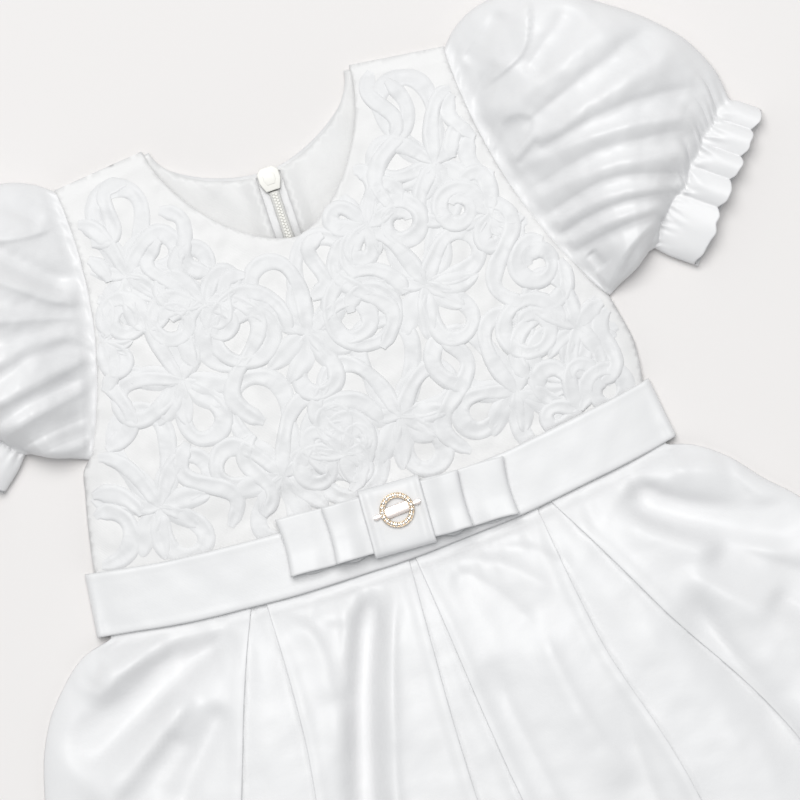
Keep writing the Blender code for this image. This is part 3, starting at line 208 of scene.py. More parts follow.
# Folds of the skirt front: height, width on the left and the right of the line, and the line's points
SKIRT_FOLDS = [
    (-13.0, 9.5, 8, [(-74, -23), (-99.6, -34.6), (-131.5, -50.5), (-162, -63)]),
    (7.5, 8, 8, [(-82, -14), (-104, -20), (-126, -29), (-146, -38)]),
    (-2.6, 5, 5, [(-134, -23), (-143, -34)]),
    (5.0, 8, 12, [(-100, -48), (-130, -69), (-160, -86)]),
    (-3.4, 6, 7, [(-88, -58), (-106, -76), (-126, -98)]),
    (-2.4, 7, 8, [(-108, -64), (-126, -76), (-146, -92)]),
    (-3.6, 10, 13, [(-132, -90), (-150, -150), (-186, -260)]),
    (2.6, 9, 12, [(-108, -100), (-122, -170), (-146, -270)]),
    (-3.8, 10, 14, [(-76, -140), (-88, -200), (-108, -300)]),
    (-1.8, 3, 4, [(-57, -25), (-40, -37)]),
    (1.4, 4, 5, [(-54, -30), (-40, -45), (-46, -76)]),
    (-2.0, 6, 7, [(-32, -38), (-38, -54), (-42, -80)]),
    (-11.0, 10, 5.5, [(-8.7, -26), (-17.8, -39), (-29, -64), (-39.5, -95), (-48, -125), (-56, -190)]),
    (3.4, 5, 8, [(-3, -30), (-14, -58), (-25, -92), (-36, -130), (-42, -190)]),
    (1.2, 9, 7, [(-22, -26), (-34, -60), (-52, -100)]),
    (1.6, 4, 5, [(24, -31), (44, -39), (62, -60)]),
    (-1.6, 7, 8, [(20, -36), (34, -48), (46, -72)]),
    (-1.8, 6, 9, [(26, -32), (44, -34), (60, -42), (68, -56)]),
    (-2.4, 9, 11, [(28, -72), (22, -92), (30, -140), (34, -200)]),
    (2.2, 7, 9, [(48, -70), (52, -110), (66, -150)]),
    (-3.4, 11, 14, [(70, -105), (68, -150), (78, -220), (90, -300)]),
    (-12.5, 7, 9, [(101, -25), (118, -40), (143, -53), (176, -65)]),
    (3.6, 6, 9, [(96, -34), (110, -50), (138, -68), (166, -78)]),
    (6.5, 8, 7, [(110, -17), (136, -28), (156, -37), (174, -50)]),
    (-2.6, 3, 7, [(150, -25), (147, -36), (154, -50)]),
    (-1.8, 3, 3, [(103, -17), (116, -34)]),
    (-1.4, 3, 3, [(112, -15), (124, -27)]),
    (-6.4, 8, 10, [(126, -60), (141, -70), (163, -87), (184, -100)]),
    (2.6, 7, 9, [(112, -66), (130, -84), (150, -104), (176, -124)]),
    (-5.2, 9, 10, [(113, -72), (119, -106), (133, -140), (152, -196)]),
    (-4.4, 8, 10, [(146, -88), (160, -104), (184, -130)]),
    (2.6, 10, 12, [(140, -130), (160, -180), (186, -260)]),
    (-4.0, 10, 13, [(160, -160), (184, -220), (204, -290)]),
    (-3.6, 10, 13, [(30, -180), (34, -240), (40, -315)]),
    (3.0, 10, 12, [(-20, -200), (-26, -260), (-32, -318)]),
    (3.0, 10, 12, [(84, -210), (94, -260), (104, -312)]),
    (-3.4, 11, 13, [(-196, -160), (-214, -220), (-228, -280)]),
]

# Puff sleeve rows: upper x, y, lower x, y, top height, side height, armhole curve, gathers
SLEEVE = np.array(
    [
        (90.4, 178.4, 123.9, 54.6, 8.0, 2.2, 1.00, 0.0),
        (97.0, 184.6, 126.8, 56.4, 13.0, 3.2, 0.72, 0.6),
        (108.0, 190.0, 130.2, 58.2, 22.0, 5.0, 0.35, 0.9),
        (122.5, 192.0, 133.5, 59.6, 30.0, 6.5, 0.10, 1.0),
        (140.5, 187.4, 136.6, 61.0, 34.0, 7.5, 0.0, 1.0),
        (158.5, 175.4, 139.4, 62.6, 34.0, 7.5, 0.0, 1.0),
        (176.0, 162.2, 141.8, 64.4, 31.0, 7.0, 0.0, 1.0),
        (190.5, 145.8, 144.4, 66.2, 24.0, 6.0, 0.0, 0.9),
        (197.0, 130.5, 146.0, 67.6, 16.0, 4.8, 0.0, 0.7),
        (198.4, 119.0, 147.2, 68.6, 11.5, 4.0, 0.0, 0.2),
        (204.4, 114.4, 153.4, 62.4, 12.0, 4.0, 0.0, 0.0),
        (211.0, 109.4, 163.6, 54.4, 12.6, 4.0, 0.0, 0.0),
    ]
)
ELASTIC_ROW, CUFF_START, PUFF_ROWS, CUFF_ROWS, FRONT_COLUMNS, BACK_COLUMNS = 9, 7, 76, 66, 241, 25
SLEEVE_SEEDS = {"left": 20, "right": 40}
# Folds of each sleeve: height, width on the left and the right of the line, and the line's points
LEFT_SLEEVE_FOLDS = [
    (4.5, 6, 7, [(113, 124), (121, 127), (155, 137), (190, 147)]),
    (4.0, 6, 7, [(95, 137), (106, 143), (120, 148.6), (143, 153.6), (168, 168)]),
    (-5.5, 6, 7, [(108, 131), (118, 135), (152, 147), (184, 158)]),
    (-5.5, 7, 6, [(119, 153), (124, 157), (135, 165), (149, 175)]),
    (-5.5, 6, 7, [(108, 119), (118, 121.5), (154, 128), (190, 124)]),
    (4.0, 3.5, 4.5, [(106, 117), (125, 120), (157, 120), (184, 113)]),
    (-5.5, 7, 6, [(102, 105), (122, 109), (141, 112), (180, 107)]),
    (3.6, 4, 5, [(104, 103), (125, 106), (147, 105.8), (180, 99)]),
    (-4.6, 5, 4.5, [(105, 93), (125, 98), (141, 100), (174, 90)]),
    (3.2, 3.5, 4, [(105, 90), (125, 94), (144, 94), (170, 87)]),
    (-3.8, 3.5, 3.5, [(106, 83.5), (125, 88), (142, 89), (168, 85)]),
    (2.6, 3, 3.5, [(108, 80), (125, 83.5), (140, 84), (160, 82)]),
    (-3.6, 4, 3.5, [(112, 75), (134, 79), (156, 79)]),
    (3.4, 4, 5, [(124, 56), (135, 69), (155, 78)]),
    (-4.2, 4, 4, [(131, 58), (141, 70), (154, 74)]),
    (-3.4, 3, 3, [(121, 75), (124.5, 66)]),
    (3.6, 1.4, 8, [(130, 187), (127, 176), (121, 164), (110, 159.5), (98, 156)]),
    (-3.0, 4, 4, [(96, 168), (107, 176), (119, 184)]),
    (2.4, 3, 5, [(93, 141), (108, 154), (117, 164)]),
    (-2.6, 4, 3, [(92, 148), (103, 159), (110, 164)]),
    (3.0, 2.2, 7, [(98.6, 121), (113, 128), (118, 137), (108, 142), (100, 139)]),
    (-1.8, 2, 2, [(103, 119), (116, 127)]),
]
RIGHT_SLEEVE_FOLDS = [
    (2.6, 2.0, 9, [(-92, 158), (-106, 157), (-124, 161), (-140, 160)]),
    (-8.6, 7, 5, [(-91, 131), (-101, 136), (-111, 148), (-122, 157), (-142, 166)]),
    (5.2, 4, 6, [(-90, 123), (-102, 128), (-112, 136), (-128, 149), (-150, 154)]),
    (-4.2, 5, 5, [(-91, 120), (-110, 125), (-126, 135), (-152, 143), (-176, 145)]),
    (3.4, 4, 5, [(-92, 118), (-110, 123), (-130, 128), (-156, 131), (-182, 132)]),
    (-4.8, 5, 6, [(-93, 114.5), (-112, 119), (-134, 117), (-158, 119), (-184, 118)]),
    (2.4, 4, 4, [(-94, 111), (-112, 113), (-136, 108), (-160, 108), (-184, 108)]),
    (-4.0, 5, 5, [(-94, 102), (-104, 107), (-120, 110), (-138, 101), (-160, 98), (-178, 97)]),
    (4.2, 4, 5, [(-94, 101.5), (-111, 98), (-126, 95), (-142, 93), (-160, 89), (-176, 88)]),
    (3.4, 4, 5, [(-98, 89.5), (-110, 87), (-133, 82.5), (-150, 78), (-164, 78)]),
    (-4.4, 4, 5, [(-98, 94), (-114, 92), (-134, 88), (-152, 84), (-168, 84)]),
    (-4.6, 5, 5, [(-102, 78), (-124, 76.5), (-148, 72), (-160, 71)]),
    (3.2, 4, 4, [(-106, 66.5), (-117, 65), (-130, 62), (-144, 66)]),
    (-3.0, 4, 4, [(-104, 70), (-120, 70), (-140, 68)]),
    (-3.0, 5, 5, [(-96, 160), (-106, 172), (-122, 178)]),
    (2.6, 5, 6, [(-126, 180), (-140, 170), (-166, 158)]),
]
HEAD_GATHERS, CUFF_GATHERS, HEAD_SPAN, ELASTIC_SPAN = 13, 24, 130.0, 72.0
FRILL_LOBES = [0.0, 0.14, 0.31, 0.46, 0.64, 1.0]
POUCH_LOBES = [0.0, 0.1, 0.21, 0.35, 0.44, 0.58, 0.72, 0.84, 1.0]
SLEEVE_FOLD_DEPTH, SEAM_TUCK = 0.78, 1.7

# Bow and strap. Each loop: length, height, half length under the strap, bottom and top in the middle,
# bottom and top at its ends, and how much wider it is at its edges
BOW_X, BOW_Y, BOW_TURN = 7.0, -6.3, math.radians(-2.8)
LOOPS = {
    "bow_lower_loop": (99.0, 25.2, 31.0, 14.7, 17.5, 13.4, 18.2, 1.2),
    "bow_upper_loop": (59.0, 24.8, 14.6, 17.9, 20.8, 18.4, 23.0, 0.8),
}
STRAP_WIDTH, STRAP_HEIGHT, STRAP_LOW, STRAP_HIGH, LOOP_RISE = 27.0, 30.0, 13.3, 22.2, 9.0

# Buckle
BUCKLE_RADIUS, BUCKLE_TUBE, BUCKLE_TURN = 6.35, 1.15, math.radians(3.0)
BAR_LENGTH, BAR_WIDTH, BAR_THICKNESS, BAR_ROWS, BAR_COLUMNS = 21.5, 4.8, 1.2, 61, 24
STONES, STONE_RADIUS, PRONG_RADIUS = 19, 0.98, 0.24

# Zip, its slider, and the pull tab that hangs on the slider's eye
ZIP_X, ZIP_TOP_Y, ZIP_END_Y = 1.0, 142.6, -96.0
CHAIN_LIFT = 0.4
TAPE_SECTION = [(-2.2, 0.35), (-1.2, 0.5), (-0.9, 0.75), (0, 0.7), (0.9, 0.75), (1.2, 0.5), (2.2, 0.35)]
TOOTH_PITCH, TOOTH_HALF_LENGTH, TOOTH_LIFT, TOOTH_HEIGHT = 1.35, 0.36, 0.55, 0.75
SLIDER_Y0, SLIDER_Y1, SLIDER_WIDTH, SLIDER_NOSE_WIDTH, SLIDER_HEIGHT = 143.0, 153.4, 9.6, 6.2, 2.4
TAB_LIFT, TAB_SPACE_HALF_WIDTH, TAB_SPACE_FADE, TAB_SPACE_Y = 2.5, 5.4, 9.0, 126.0
EYE_Y, EYE_Z = 148.0, 1.4
TAB_LENGTH, TAB_WIDTH, TAB_THICKNESS, TAB_DROOP = 18.0, 5.6, 1.0, math.radians(2.6)
PARTED_HALF_WIDTH = 1.3

# View: the photograph looks straight down, turned so that the dress leans to the right
VIEW_X, VIEW_Y, VIEW_WIDTH, VIEW_TURN, VIEW_DISTANCE = 24.0, 40.5, 344.0, math.radians(18.5), 2.2
SENSOR_WIDTH = 36.0

# Stage and light, in metres and watts: the softbox stands above the neck and shines at the target
FLOOR_SIZE, FLOOR_Z, FLOOR_COLOUR = 8.0, -0.0003, (0.812, 0.792, 0.782, 1)
SOFTBOX_RIGHT, SOFTBOX_UP, SOFTBOX_Z, SOFTBOX_SIZE, SOFTBOX_POWER = -0.5, 1.38, 4.4, 2.75, 171.0
SOFTBOX_COLOUR, SKY_COLOUR, SKY_STRENGTH = (1.0, 0.997, 0.988), (0.95, 0.975, 1.0, 1), 0.41


# Curves and noise


def smooth(share):
    share = np.clip(share, 0.0, 1.0)
    return share * share * (3 - 2 * share)


def mix(a, b, share):
    return a + (b - a) * share


def curve(keys, values, at):
    """A smooth curve through the values that never overshoots."""
    keys, values = np.asarray(keys, float), np.asarray(values, float)
    at = np.clip(np.asarray(at, float), keys[0], keys[-1])
    i = np.clip(np.searchsorted(keys, at, side="right") - 1, 0, len(keys) - 2)
    slopes = np.diff(values) / np.diff(keys)
    tangents = np.zeros(len(keys))
    a, b = slopes[:-1], slopes[1:]
    same = a * b > 0
    tangents[1:-1] = np.where(same, 2 * a * b / np.where(same, a + b, 1.0), 0.0)
    tangents[0], tangents[-1] = slopes[0], slopes[-1]
    width = keys[i + 1] - keys[i]
    s = (at - keys[i]) / width
    ease = s * s * (3 - 2 * s)
    leave = s * (1 - s) ** 2 * width * tangents[i]
    arrive = s * s * (1 - s) * width * tangents[i + 1]
    return mix(values[i], values[i + 1], ease) + leave - arrive


def rounded(across, power, fullness):
    return np.maximum(0.0, 1 - np.minimum(np.abs(across), 1.0) ** power) ** fullness


def hill(across, width, power=2):
    """One in the middle, falling away softly over this width on both sides."""
    return np.exp(-(np.abs(across / width) ** power))


def heading(angle):
    """The direction at this angle clockwise from the neck, and the one to its right."""
    ahead = np.array((math.sin(angle), math.cos(angle)))
    return ahead, np.array((ahead[1], -ahead[0]))


def ripples(x, y, seed, length, count):
    """Soft noise of about this wavelength, mostly between -1 and 1, from this many waves."""
    random = np.random.default_rng(seed)
    total = np.zeros(np.broadcast(x, y).shape)
    for _ in range(count):
        angle = random.uniform(-math.pi, math.pi)
        pitch = 2 * math.pi / (length * random.uniform(0.7, 1.5))
        phase = random.uniform(0, 2 * math.pi)
        total = total + np.cos(pitch * (x * math.cos(angle) + y * math.sin(angle)) + phase)
    return total / math.sqrt(count)


def rounder(points, closed=False):
    """The same line with its corners cut twice, so that it bends softly."""
    points = np.asarray(points, float)
    for _ in range(2):
        ends = np.roll(points, -1, axis=0) if closed else points[1:]
        starts = points if closed else points[:-1]
        cut = np.stack([mix(starts, ends, 0.25), mix(starts, ends, 0.75)], axis=1)
        cut = cut.reshape(-1, points.shape[1])
        points = cut if closed else np.vstack([points[:1], cut[1:-1], points[-1:]])
    return points


def nearest(x, y, line):
    """Signed distance to a line, positive on its left, and the share of the way along it."""
    best = np.full(x.shape, 1e9)
    along = np.zeros(x.shape)
    side = np.ones(x.shape)
    lengths = np.hypot(*np.diff(line, axis=0).T)
    total = lengths.sum()
    start = 0.0
    for (x0, y0), (x1, y1), length in zip(line[:-1], line[1:], lengths):
        if length < 1e-9:
            continue
        ax, ay = (x1 - x0) / length, (y1 - y0) / length
        t = np.clip((x - x0) * ax + (y - y0) * ay, 0, length)
        away = np.hypot(x - x0 - ax * t, y - y0 - ay * t)
        closer = away < best
        best = np.where(closer, away, best)
        along = np.where(closer, (start + t) / total, along)
        side = np.where(closer, np.where(ax * (y - y0) - ay * (x - x0) >= 0, 1.0, -1.0), side)
        start += length
    return best * side, along


def line_folds(x, y, folds):
    """Sum of the soft troughs and ridges along their lines."""
    total = np.zeros(x.shape)
    for height, left, right, points in folds:
        line = rounder(points)
        reach = 3.2 * max(left, right)
        near = (x > line[:, 0].min() - reach) & (x < line[:, 0].max() + reach)
        near &= (y > line[:, 1].min() - reach) & (y < line[:, 1].max() + reach)
        if not near.any():
            continue
        away, along = nearest(x[near], y[near], line)
        wide = np.where(away > 0, left, right) * mix(0.8, 1.15, along)
        power = 1.5 if height > 0 else 1.8
        ends = smooth(along / 0.16 + 0.02) * smooth((1 - along) / 0.2 + 0.02)
        across = away / wide
        crease = CREASE_SHARE * hill(across - CREASE_PLACE, CREASE_WIDTH, 1.5)
        total[near] += height * ends * (FOLD_SHARE * hill(across, 1.0, power) + crease)
    return total


# Surfaces of the dress, as in its solids


def belt_y(x):
    return BELT_MIDDLE_Y + BELT_SAG * (x / BELT_HALF_WIDTH) ** 2 + BELT_TILT * x


def seam_y(x):
    return belt_y(x) - SEAM_BELOW_BELT_MIDDLE


def waist_z(x):
    return mix(WAIST_EDGE_Z, WAIST_MIDDLE_Z, rounded(x / WAIST_HALF_WIDTH, BODICE_ROUND, BODICE_FULLNESS))


def under_belt(x, y):
    return smooth((BELT_HALF_HEIGHT + 6.5 - np.abs(y - belt_y(x))) / 5.0)


def shoulder_y(x):
    left, right = ARMHOLES["left"][0], ARMHOLES["right"][0]
    on_left = NECK_LEFT[1] + (x - NECK_LEFT[0]) * (left[1] - NECK_LEFT[1]) / (left[0] - NECK_LEFT[0])
    on_right = NECK_RIGHT[1] + (x - NECK_RIGHT[0]) * (right[1] - NECK_RIGHT[1]) / (right[0] - NECK_RIGHT[0])
    return np.where(x > 0, on_left, on_right)


def bodice_value(y, column):
    return curve(BODICE[:, 0], BODICE[:, column], y)


def bodice_z(x, y):
    left, right, edge, middle = [bodice_value(y, column) for column in (1, 2, 3, 4)]
    across = (2 * x - left - right) / (right - left)
    z = mix(edge, middle, rounded(across, BODICE_ROUND, BODICE_FULLNESS))
    return mix(SHOULDER_Z, z, smooth((shoulder_y(x) - y) / SHOULDER_ROLL))


def back_z(x, y):
    aside = smooth((TAB_SPACE_HALF_WIDTH + TAB_SPACE_FADE - np.abs(x - ZIP_X)) / TAB_SPACE_FADE)
    tab = TAB_LIFT * aside * smooth((y - TAB_SPACE_Y + TAB_SPACE_FADE) / TAB_SPACE_FADE)
    return BELT_LIFT * under_belt(x, y) + tab


def back_inner_z(x, y):
    return back_z(x, y) + BODICE_WALL


def lining_z(x, y):
    return back_inner_z(x, y) + LINING_GAP + SATIN_WALL


# Outlines


def armhole_point(side, share):
    shoulder, underarm = ARMHOLES[side]
    chord = underarm - shoulder
    inward = np.array((chord[1], -chord[0])) / np.hypot(*chord)
    if side == "right":
        inward = -inward
    bulge = ARMHOLE_CURVE * math.sin(math.pi * min(max(share, 0.0), 1.0)) ** 0.8
    return shoulder + chord * share + inward * bulge


def neck_point(share, drop):
    middle, half = (NECK_LEFT + NECK_RIGHT) / 2, (NECK_LEFT - NECK_RIGHT) / 2
    down = np.array((half[1], -half[0])) / np.hypot(*half)
    angle = math.pi * share
    across = math.copysign(abs(math.cos(angle)) ** NECK_POWER, math.cos(angle))
    return middle + half * across + down * drop * max(math.sin(angle), 0.0) ** NECK_POWER


def side_edge(column, y0, y1, steps):
    ys = [mix(y0, y1, i / steps) for i in range(steps)]
    return [np.array((float(bodice_value(y, column)), y)) for y in ys]


def bodice_outline(neck_drop, fine=4):
    """Closed outline of the whole bodice, from the right waist corner, anticlockwise."""
    waist, side, armhole, shoulder, neck = [steps * fine for steps in OUTLINE_STEPS]
    left, right = BODICE[0, 1], BODICE[0, 2]
    xs = [mix(left, right, i / waist) for i in range(waist)]
    points = [np.array((x, seam_y(x) + GAP)) for x in xs]
    top, underarm = ARMHOLES["left"]
    points += side_edge(2, seam_y(right) + GAP, underarm[1] - 0.5, side)
    points += [armhole_point("left", 1 - i / armhole) for i in range(armhole)]
    points += [mix(top, NECK_LEFT, i / shoulder) for i in range(shoulder)]
    points += [neck_point(i / neck, neck_drop) for i in range(neck)]
    top, underarm = ARMHOLES["right"]
    points += [mix(NECK_RIGHT, top, i / shoulder) for i in range(shoulder)]
    points += [armhole_point("right", i / armhole) for i in range(armhole)]
    points += side_edge(1, underarm[1] - 0.01, seam_y(left) + GAP, side)
    return np.array(points)


def lining_outline():
    points = bodice_outline(BACK_NECK_DROP, 2)
    x = points[:, 0] - np.copysign(LINING_SIDE_INSET * smooth(np.abs(points[:, 0]) / 60 - 0.4), points[:, 0])
    low = belt_y(x) + LINING_ABOVE_BELT
    return np.stack([x, np.maximum(points[:, 1] - LINING_NECK_INSET, low)], axis=1)


def back_half(outline, side, gap_half_width):
    """The half of a back outline on one side of the zip, parted at the top for the slider."""
    sign = 1 if side == "left" else -1

    def edge_x(y):
        parted = smooth((y - (SLIDER_Y0 - 4)) / 5.0) * max(0.0, PARTED_HALF_WIDTH - gap_half_width)
        return ZIP_X + sign * (gap_half_width + parted)

    keep = sign * (outline[:, 0] - ZIP_X) > 3.0
    start = int(np.argmax(keep & ~np.roll(keep, 1)))
    kept = np.roll(outline, -start, axis=0)
    kept = kept[np.roll(keep, -start)]
    close = np.abs(outline[:, 0] - ZIP_X) < 8.0
    low = outline[close, 1].min()
    top = outline[close & (outline[:, 1] > 60), 1].min()
    ys = np.linspace(low, top, 60)
    if abs(kept[-1][1] - low) > abs(kept[-1][1] - top):
        ys = ys[::-1]
    edge = np.stack([edge_x(ys), ys], axis=1)
    return np.vstack([kept, edge])


def inside(x, y, outline):
    hit = np.zeros(x.shape, bool)
    for (ax, ay), (bx, by) in zip(outline, np.roll(outline, -1, axis=0)):
        if ay == by:
            continue
        crosses = (ay > y) != (by > y)
        hit ^= crosses & (x < ax + (bx - ax) * (y - ay) / (by - ay))
    return hit


# Meshes


def world(points):
    return (np.asarray(points, float) + SHIFT) * MM


def in_scene(name, data):
    made = bpy.data.objects.new(name, data)
    bpy.context.scene.collection.objects.link(made)
    return made


def finished(name, mesh, material, sharp):
    """The object of a mesh, shaded smooth up to this angle."""
    mesh.materials.append(material)
    mesh.shade_smooth()
    if sharp:
        mesh.set_sharp_from_angle(angle=math.radians(sharp))
    return in_scene(name, mesh)


def new_object(name, points, faces, material, sharp=None):
    mesh = bpy.data.meshes.new(name)
    mesh.from_pydata(world(points).tolist(), [], faces)
    return finished(name, mesh, material, sharp)


def circle(around):
    return np.linspace(0, 2 * math.pi, around, endpoint=False)


def grid_faces(rows, columns, ring=False):
    i = np.arange(rows - 1)[:, None]
    j = np.arange(columns if ring else columns - 1)[None, :]
    k = (j + 1) % columns
    a, b, c, d = i * columns + j, i * columns + k, (i + 1) * columns + k, (i + 1) * columns + j
    return np.stack([a, d, c, b], axis=-1).reshape(-1, 4)


def grid_normals(grid, ring):
    padded = np.concatenate([grid[:, -2:], grid, grid[:, :2]], axis=1) if ring else grid
    down, across = np.gradient(padded, axis=0), np.gradient(padded, axis=1)
    normals = np.cross(down, across)
    normals /= np.maximum(np.linalg.norm(normals, axis=2, keepdims=True), 1e-9)
    return normals[:, 2:-2] if ring else normals


def cloth_grid(name, grid, wall, material, ring=False):
    """Cloth through rows of points, with its wall on the inner side."""
    rows, columns = grid.shape[:2]
    inner = grid - grid_normals(grid, ring) * wall
    count = rows * columns
    outer_faces = grid_faces(rows, columns, ring)
    faces = [outer_faces, outer_faces[:, ::-1] + count]
    j = np.arange(columns if ring else columns - 1)
    k = (j + 1) % columns
    last = (rows - 1) * columns
    faces.append(np.stack([j, k, k + count, j + count], axis=1))
    faces.append(np.stack([k + last, j + last, j + last + count, k + last + count], axis=1))
    if not ring:
        i = np.arange(rows - 1) * columns
        below = i + columns
        faces.append(np.stack([below, i, i + count, below + count], axis=1))
        end, end_below = i + columns - 1, below + columns - 1
        faces.append(np.stack([end, end_below, end_below + count, end + count], axis=1))
    points = np.concatenate([grid.reshape(-1, 3), inner.reshape(-1, 3)])
    return new_object(name, points, np.concatenate(faces).tolist(), material)


def cloth_panel(name, outline, height, wall, spacing, material):
    """A cut panel whose upper face follows the height, with its wall below."""
    low, high = outline.min(axis=0), outline.max(axis=0)
    rows = []
    for odd, y in enumerate(np.arange(low[1] + spacing * 0.6, high[1], spacing * 0.866)):
        xs = np.arange(low[0] + spacing * (0.9 if odd % 2 else 0.4), high[0], spacing)
        rows.append(np.stack([xs, np.full(xs.shape, y)], axis=1))
    loose = np.vstack(rows)
    closed = np.vstack([outline, outline[:1]])
    away, _ = nearest(loose[:, 0], loose[:, 1], closed)
    loose = loose[inside(loose[:, 0], loose[:, 1], outline) & (np.abs(away) > spacing * 0.45)]
    points = [Vector(p) for p in outline.tolist()] + [Vector(p) for p in loose.tolist()]
    made = delaunay_2d_cdt(points, [], [list(range(len(outline)))], 0, 0.05, False)
    flat = np.array([tuple(p) for p in made[0]])
    faces = np.array([list(face) for face in made[2]])
    middle = flat[faces].mean(axis=1)
    faces = faces[inside(middle[:, 0], middle[:, 1], outline)]
    a, b, c = flat[faces[:, 0]], flat[faces[:, 1]], flat[faces[:, 2]]
    turned = (b[:, 0] - a[:, 0]) * (c[:, 1] - a[:, 1]) - (b[:, 1] - a[:, 1]) * (c[:, 0] - a[:, 0]) < 0
    faces[turned] = faces[turned][:, ::-1]
    x, y = flat[:, 0], flat[:, 1]
    step = 0.4
    top = np.stack([x, y, height(x, y)], axis=1)
    dx = (height(x + step, y) - height(x - step, y)) / (2 * step)
    dy = (height(x, y + step) - height(x, y - step)) / (2 * step)
    normal = np.stack([-dx, -dy, np.ones(len(x))], axis=1)
    normal /= np.linalg.norm(normal, axis=1, keepdims=True)
    count = len(x)
    directed = {(int(p), int(q)) for face in faces for p, q in zip(face, np.roll(face, -1))}
    rim = [[p, p + count, q + count, q] for p, q in directed if (q, p) not in directed]
    every = faces.tolist() + (faces[:, ::-1] + count).tolist() + sorted(rim)
    return new_object(name, np.concatenate([top, top - normal * wall]), every, material)


def joined(name, parts, material, sharp=None):
    """One object from several (points, faces) pairs."""
    points, faces, start = [], [], 0
    for part_points, part_faces in parts:
        points.append(np.asarray(part_points, float))
        faces += [[i + start for i in face] for face in part_faces]
        start += len(part_points)
    return new_object(name, np.vstack(points), faces, material, sharp)


# Materials


NOISE_SPAN, GLOSS_CHANGE, THREAD_SCALE = (0.3, 0.7), 0.06, 420.0


def node_material(name):
    material = bpy.data.materials.new(name)
    material.use_nodes = True
    return material, material.node_tree, material.node_tree.nodes["Principled BSDF"]


def add_node(tree, kind, values, **sources):
    """A shader node with these socket values, fed by the given outputs."""
    made = tree.nodes.new("ShaderNode" + kind)
    for socket, value in values.items():
        made.inputs[socket].default_value = value
    for socket, source in sources.items():
        tree.links.new(source, made.inputs[socket])
    return made


def span(tree, source, low, high, start=0.0, end=1.0):
    limits = {"From Min": start, "From Max": end, "To Min": low, "To Max": high}
    return add_node(tree, "MapRange", limits, Value=source).outputs["Result"]


def two_colours(tree, colour, shade, source, shader):
    blend = tree.nodes.new("ShaderNodeMix")
    blend.data_type = "RGBA"
    blend.inputs["A"].default_value = (*colour, 1)
    blend.inputs["B"].default_value = (*shade, 1)
    tree.links.new(source, blend.inputs["Factor"])
    tree.links.new(blend.outputs["Result"], shader.inputs["Base Color"])


def cloth_material(name, colour, shade, roughness, sheen, weave, crease):
    """White cloth: faint colour change, fine weave and small creases in its bump."""
    material, tree, shader = node_material(name)
    shader.inputs["Specular IOR Level"].default_value = 0.5
    shader.inputs["Sheen Weight"].default_value = sheen
    shader.inputs["Sheen Roughness"].default_value = 0.4
    place = tree.nodes.new("ShaderNodeTexCoord").outputs["Object"]

    def noise(scale, detail, rough=0.5):
        values = {"Scale": scale, "Detail": detail, "Roughness": rough}
        return add_node(tree, "TexNoise", values, Vector=place).outputs["Fac"]

    two_colours(tree, colour, shade, span(tree, noise(26.0, 3.0), 0.0, 1.0, *NOISE_SPAN), shader)
    low, high = roughness - GLOSS_CHANGE, roughness + GLOSS_CHANGE
    gloss = span(tree, noise(60.0, 3.0), low, high, *NOISE_SPAN)
    tree.links.new(gloss, shader.inputs["Roughness"])
    creases = noise(55.0, 5.0, 0.55)
    wrinkle = add_node(tree, "Bump", {"Strength": 1.0, "Distance": crease}, Height=creases)
    values = {"Scale": THREAD_SCALE, "Distortion": 2.0, "Detail": 2.0}
    threads = add_node(tree, "TexWave", values, Vector=place)
    threads.wave_type = "BANDS"
    threads.bands_direction = "DIAGONAL"
    sources = {"Height": threads.outputs["Fac"], "Normal": wrinkle.outputs["Normal"]}
    fine = add_node(tree, "Bump", {"Strength": 0.5, "Distance": weave}, **sources)
    tree.links.new(fine.outputs["Normal"], shader.inputs["Normal"])
    return material


def solid_material(name, colour, shade, roughness, metallic, grain_scale, grain):
    """Metal or moulded plastic with fine wear in its gloss and bump."""
    material, tree, shader = node_material(name)
    shader.inputs["Metallic"].default_value = metallic
    place = tree.nodes.new("ShaderNodeTexCoord").outputs["Object"]
    noise = add_node(tree, "TexNoise", {"Scale": grain_scale, "Detail": 4.0}, Vector=place).outputs["Fac"]
    two_colours(tree, colour, shade, noise, shader)
    gloss = span(tree, noise, max(roughness - 0.06, 0.02), roughness + 0.08)
    tree.links.new(gloss, shader.inputs["Roughness"])
    bump = add_node(tree, "Bump", {"Strength": 0.4, "Distance": grain}, Height=noise)
    tree.links.new(bump.outputs["Normal"], shader.inputs["Normal"])
    return material


# Cloth by name, two colours, roughness, sheen, and the depths in metres of its weave and creases
SATIN_CREASE, NET_CREASE, TAPE_CREASE = 0.0004, 0.0005, 0.0002
SATIN = cloth_material(
    "satin", (0.795, 0.793, 0.797), (0.78, 0.78, 0.786), 0.47, 0.04, 0.00001, SATIN_CREASE
)
BELT_SATIN = cloth_material(
    "belt_satin", (0.79, 0.79, 0.793), (0.775, 0.776, 0.781), 0.46, 0.04, 0.00001, SATIN_CREASE
)
NET_SATIN = cloth_material(
    "net_satin", (0.795, 0.79, 0.786), (0.78, 0.776, 0.773), 0.55, 0.05, 0.00003, NET_CREASE
)
RIBBON = cloth_material(
    "ribbon", (0.75, 0.751, 0.757), (0.775, 0.776, 0.78), 0.55, 0.06, 0.00002, SATIN_CREASE
)
LINING = cloth_material(
    "lining", (0.785, 0.781, 0.776), (0.755, 0.755, 0.754), 0.5, 0.05, 0.00001, NET_CREASE
)
ZIP_TAPE = cloth_material(
    "zip_tape", (0.80, 0.795, 0.77), (0.77, 0.765, 0.74), 0.6, 0.05, 0.00005, TAPE_CREASE
)
ZIP_METAL = solid_material("zip_metal", (0.86, 0.85, 0.81), (0.83, 0.82, 0.77), 0.35, 0.0, 900.0, 0.00003)
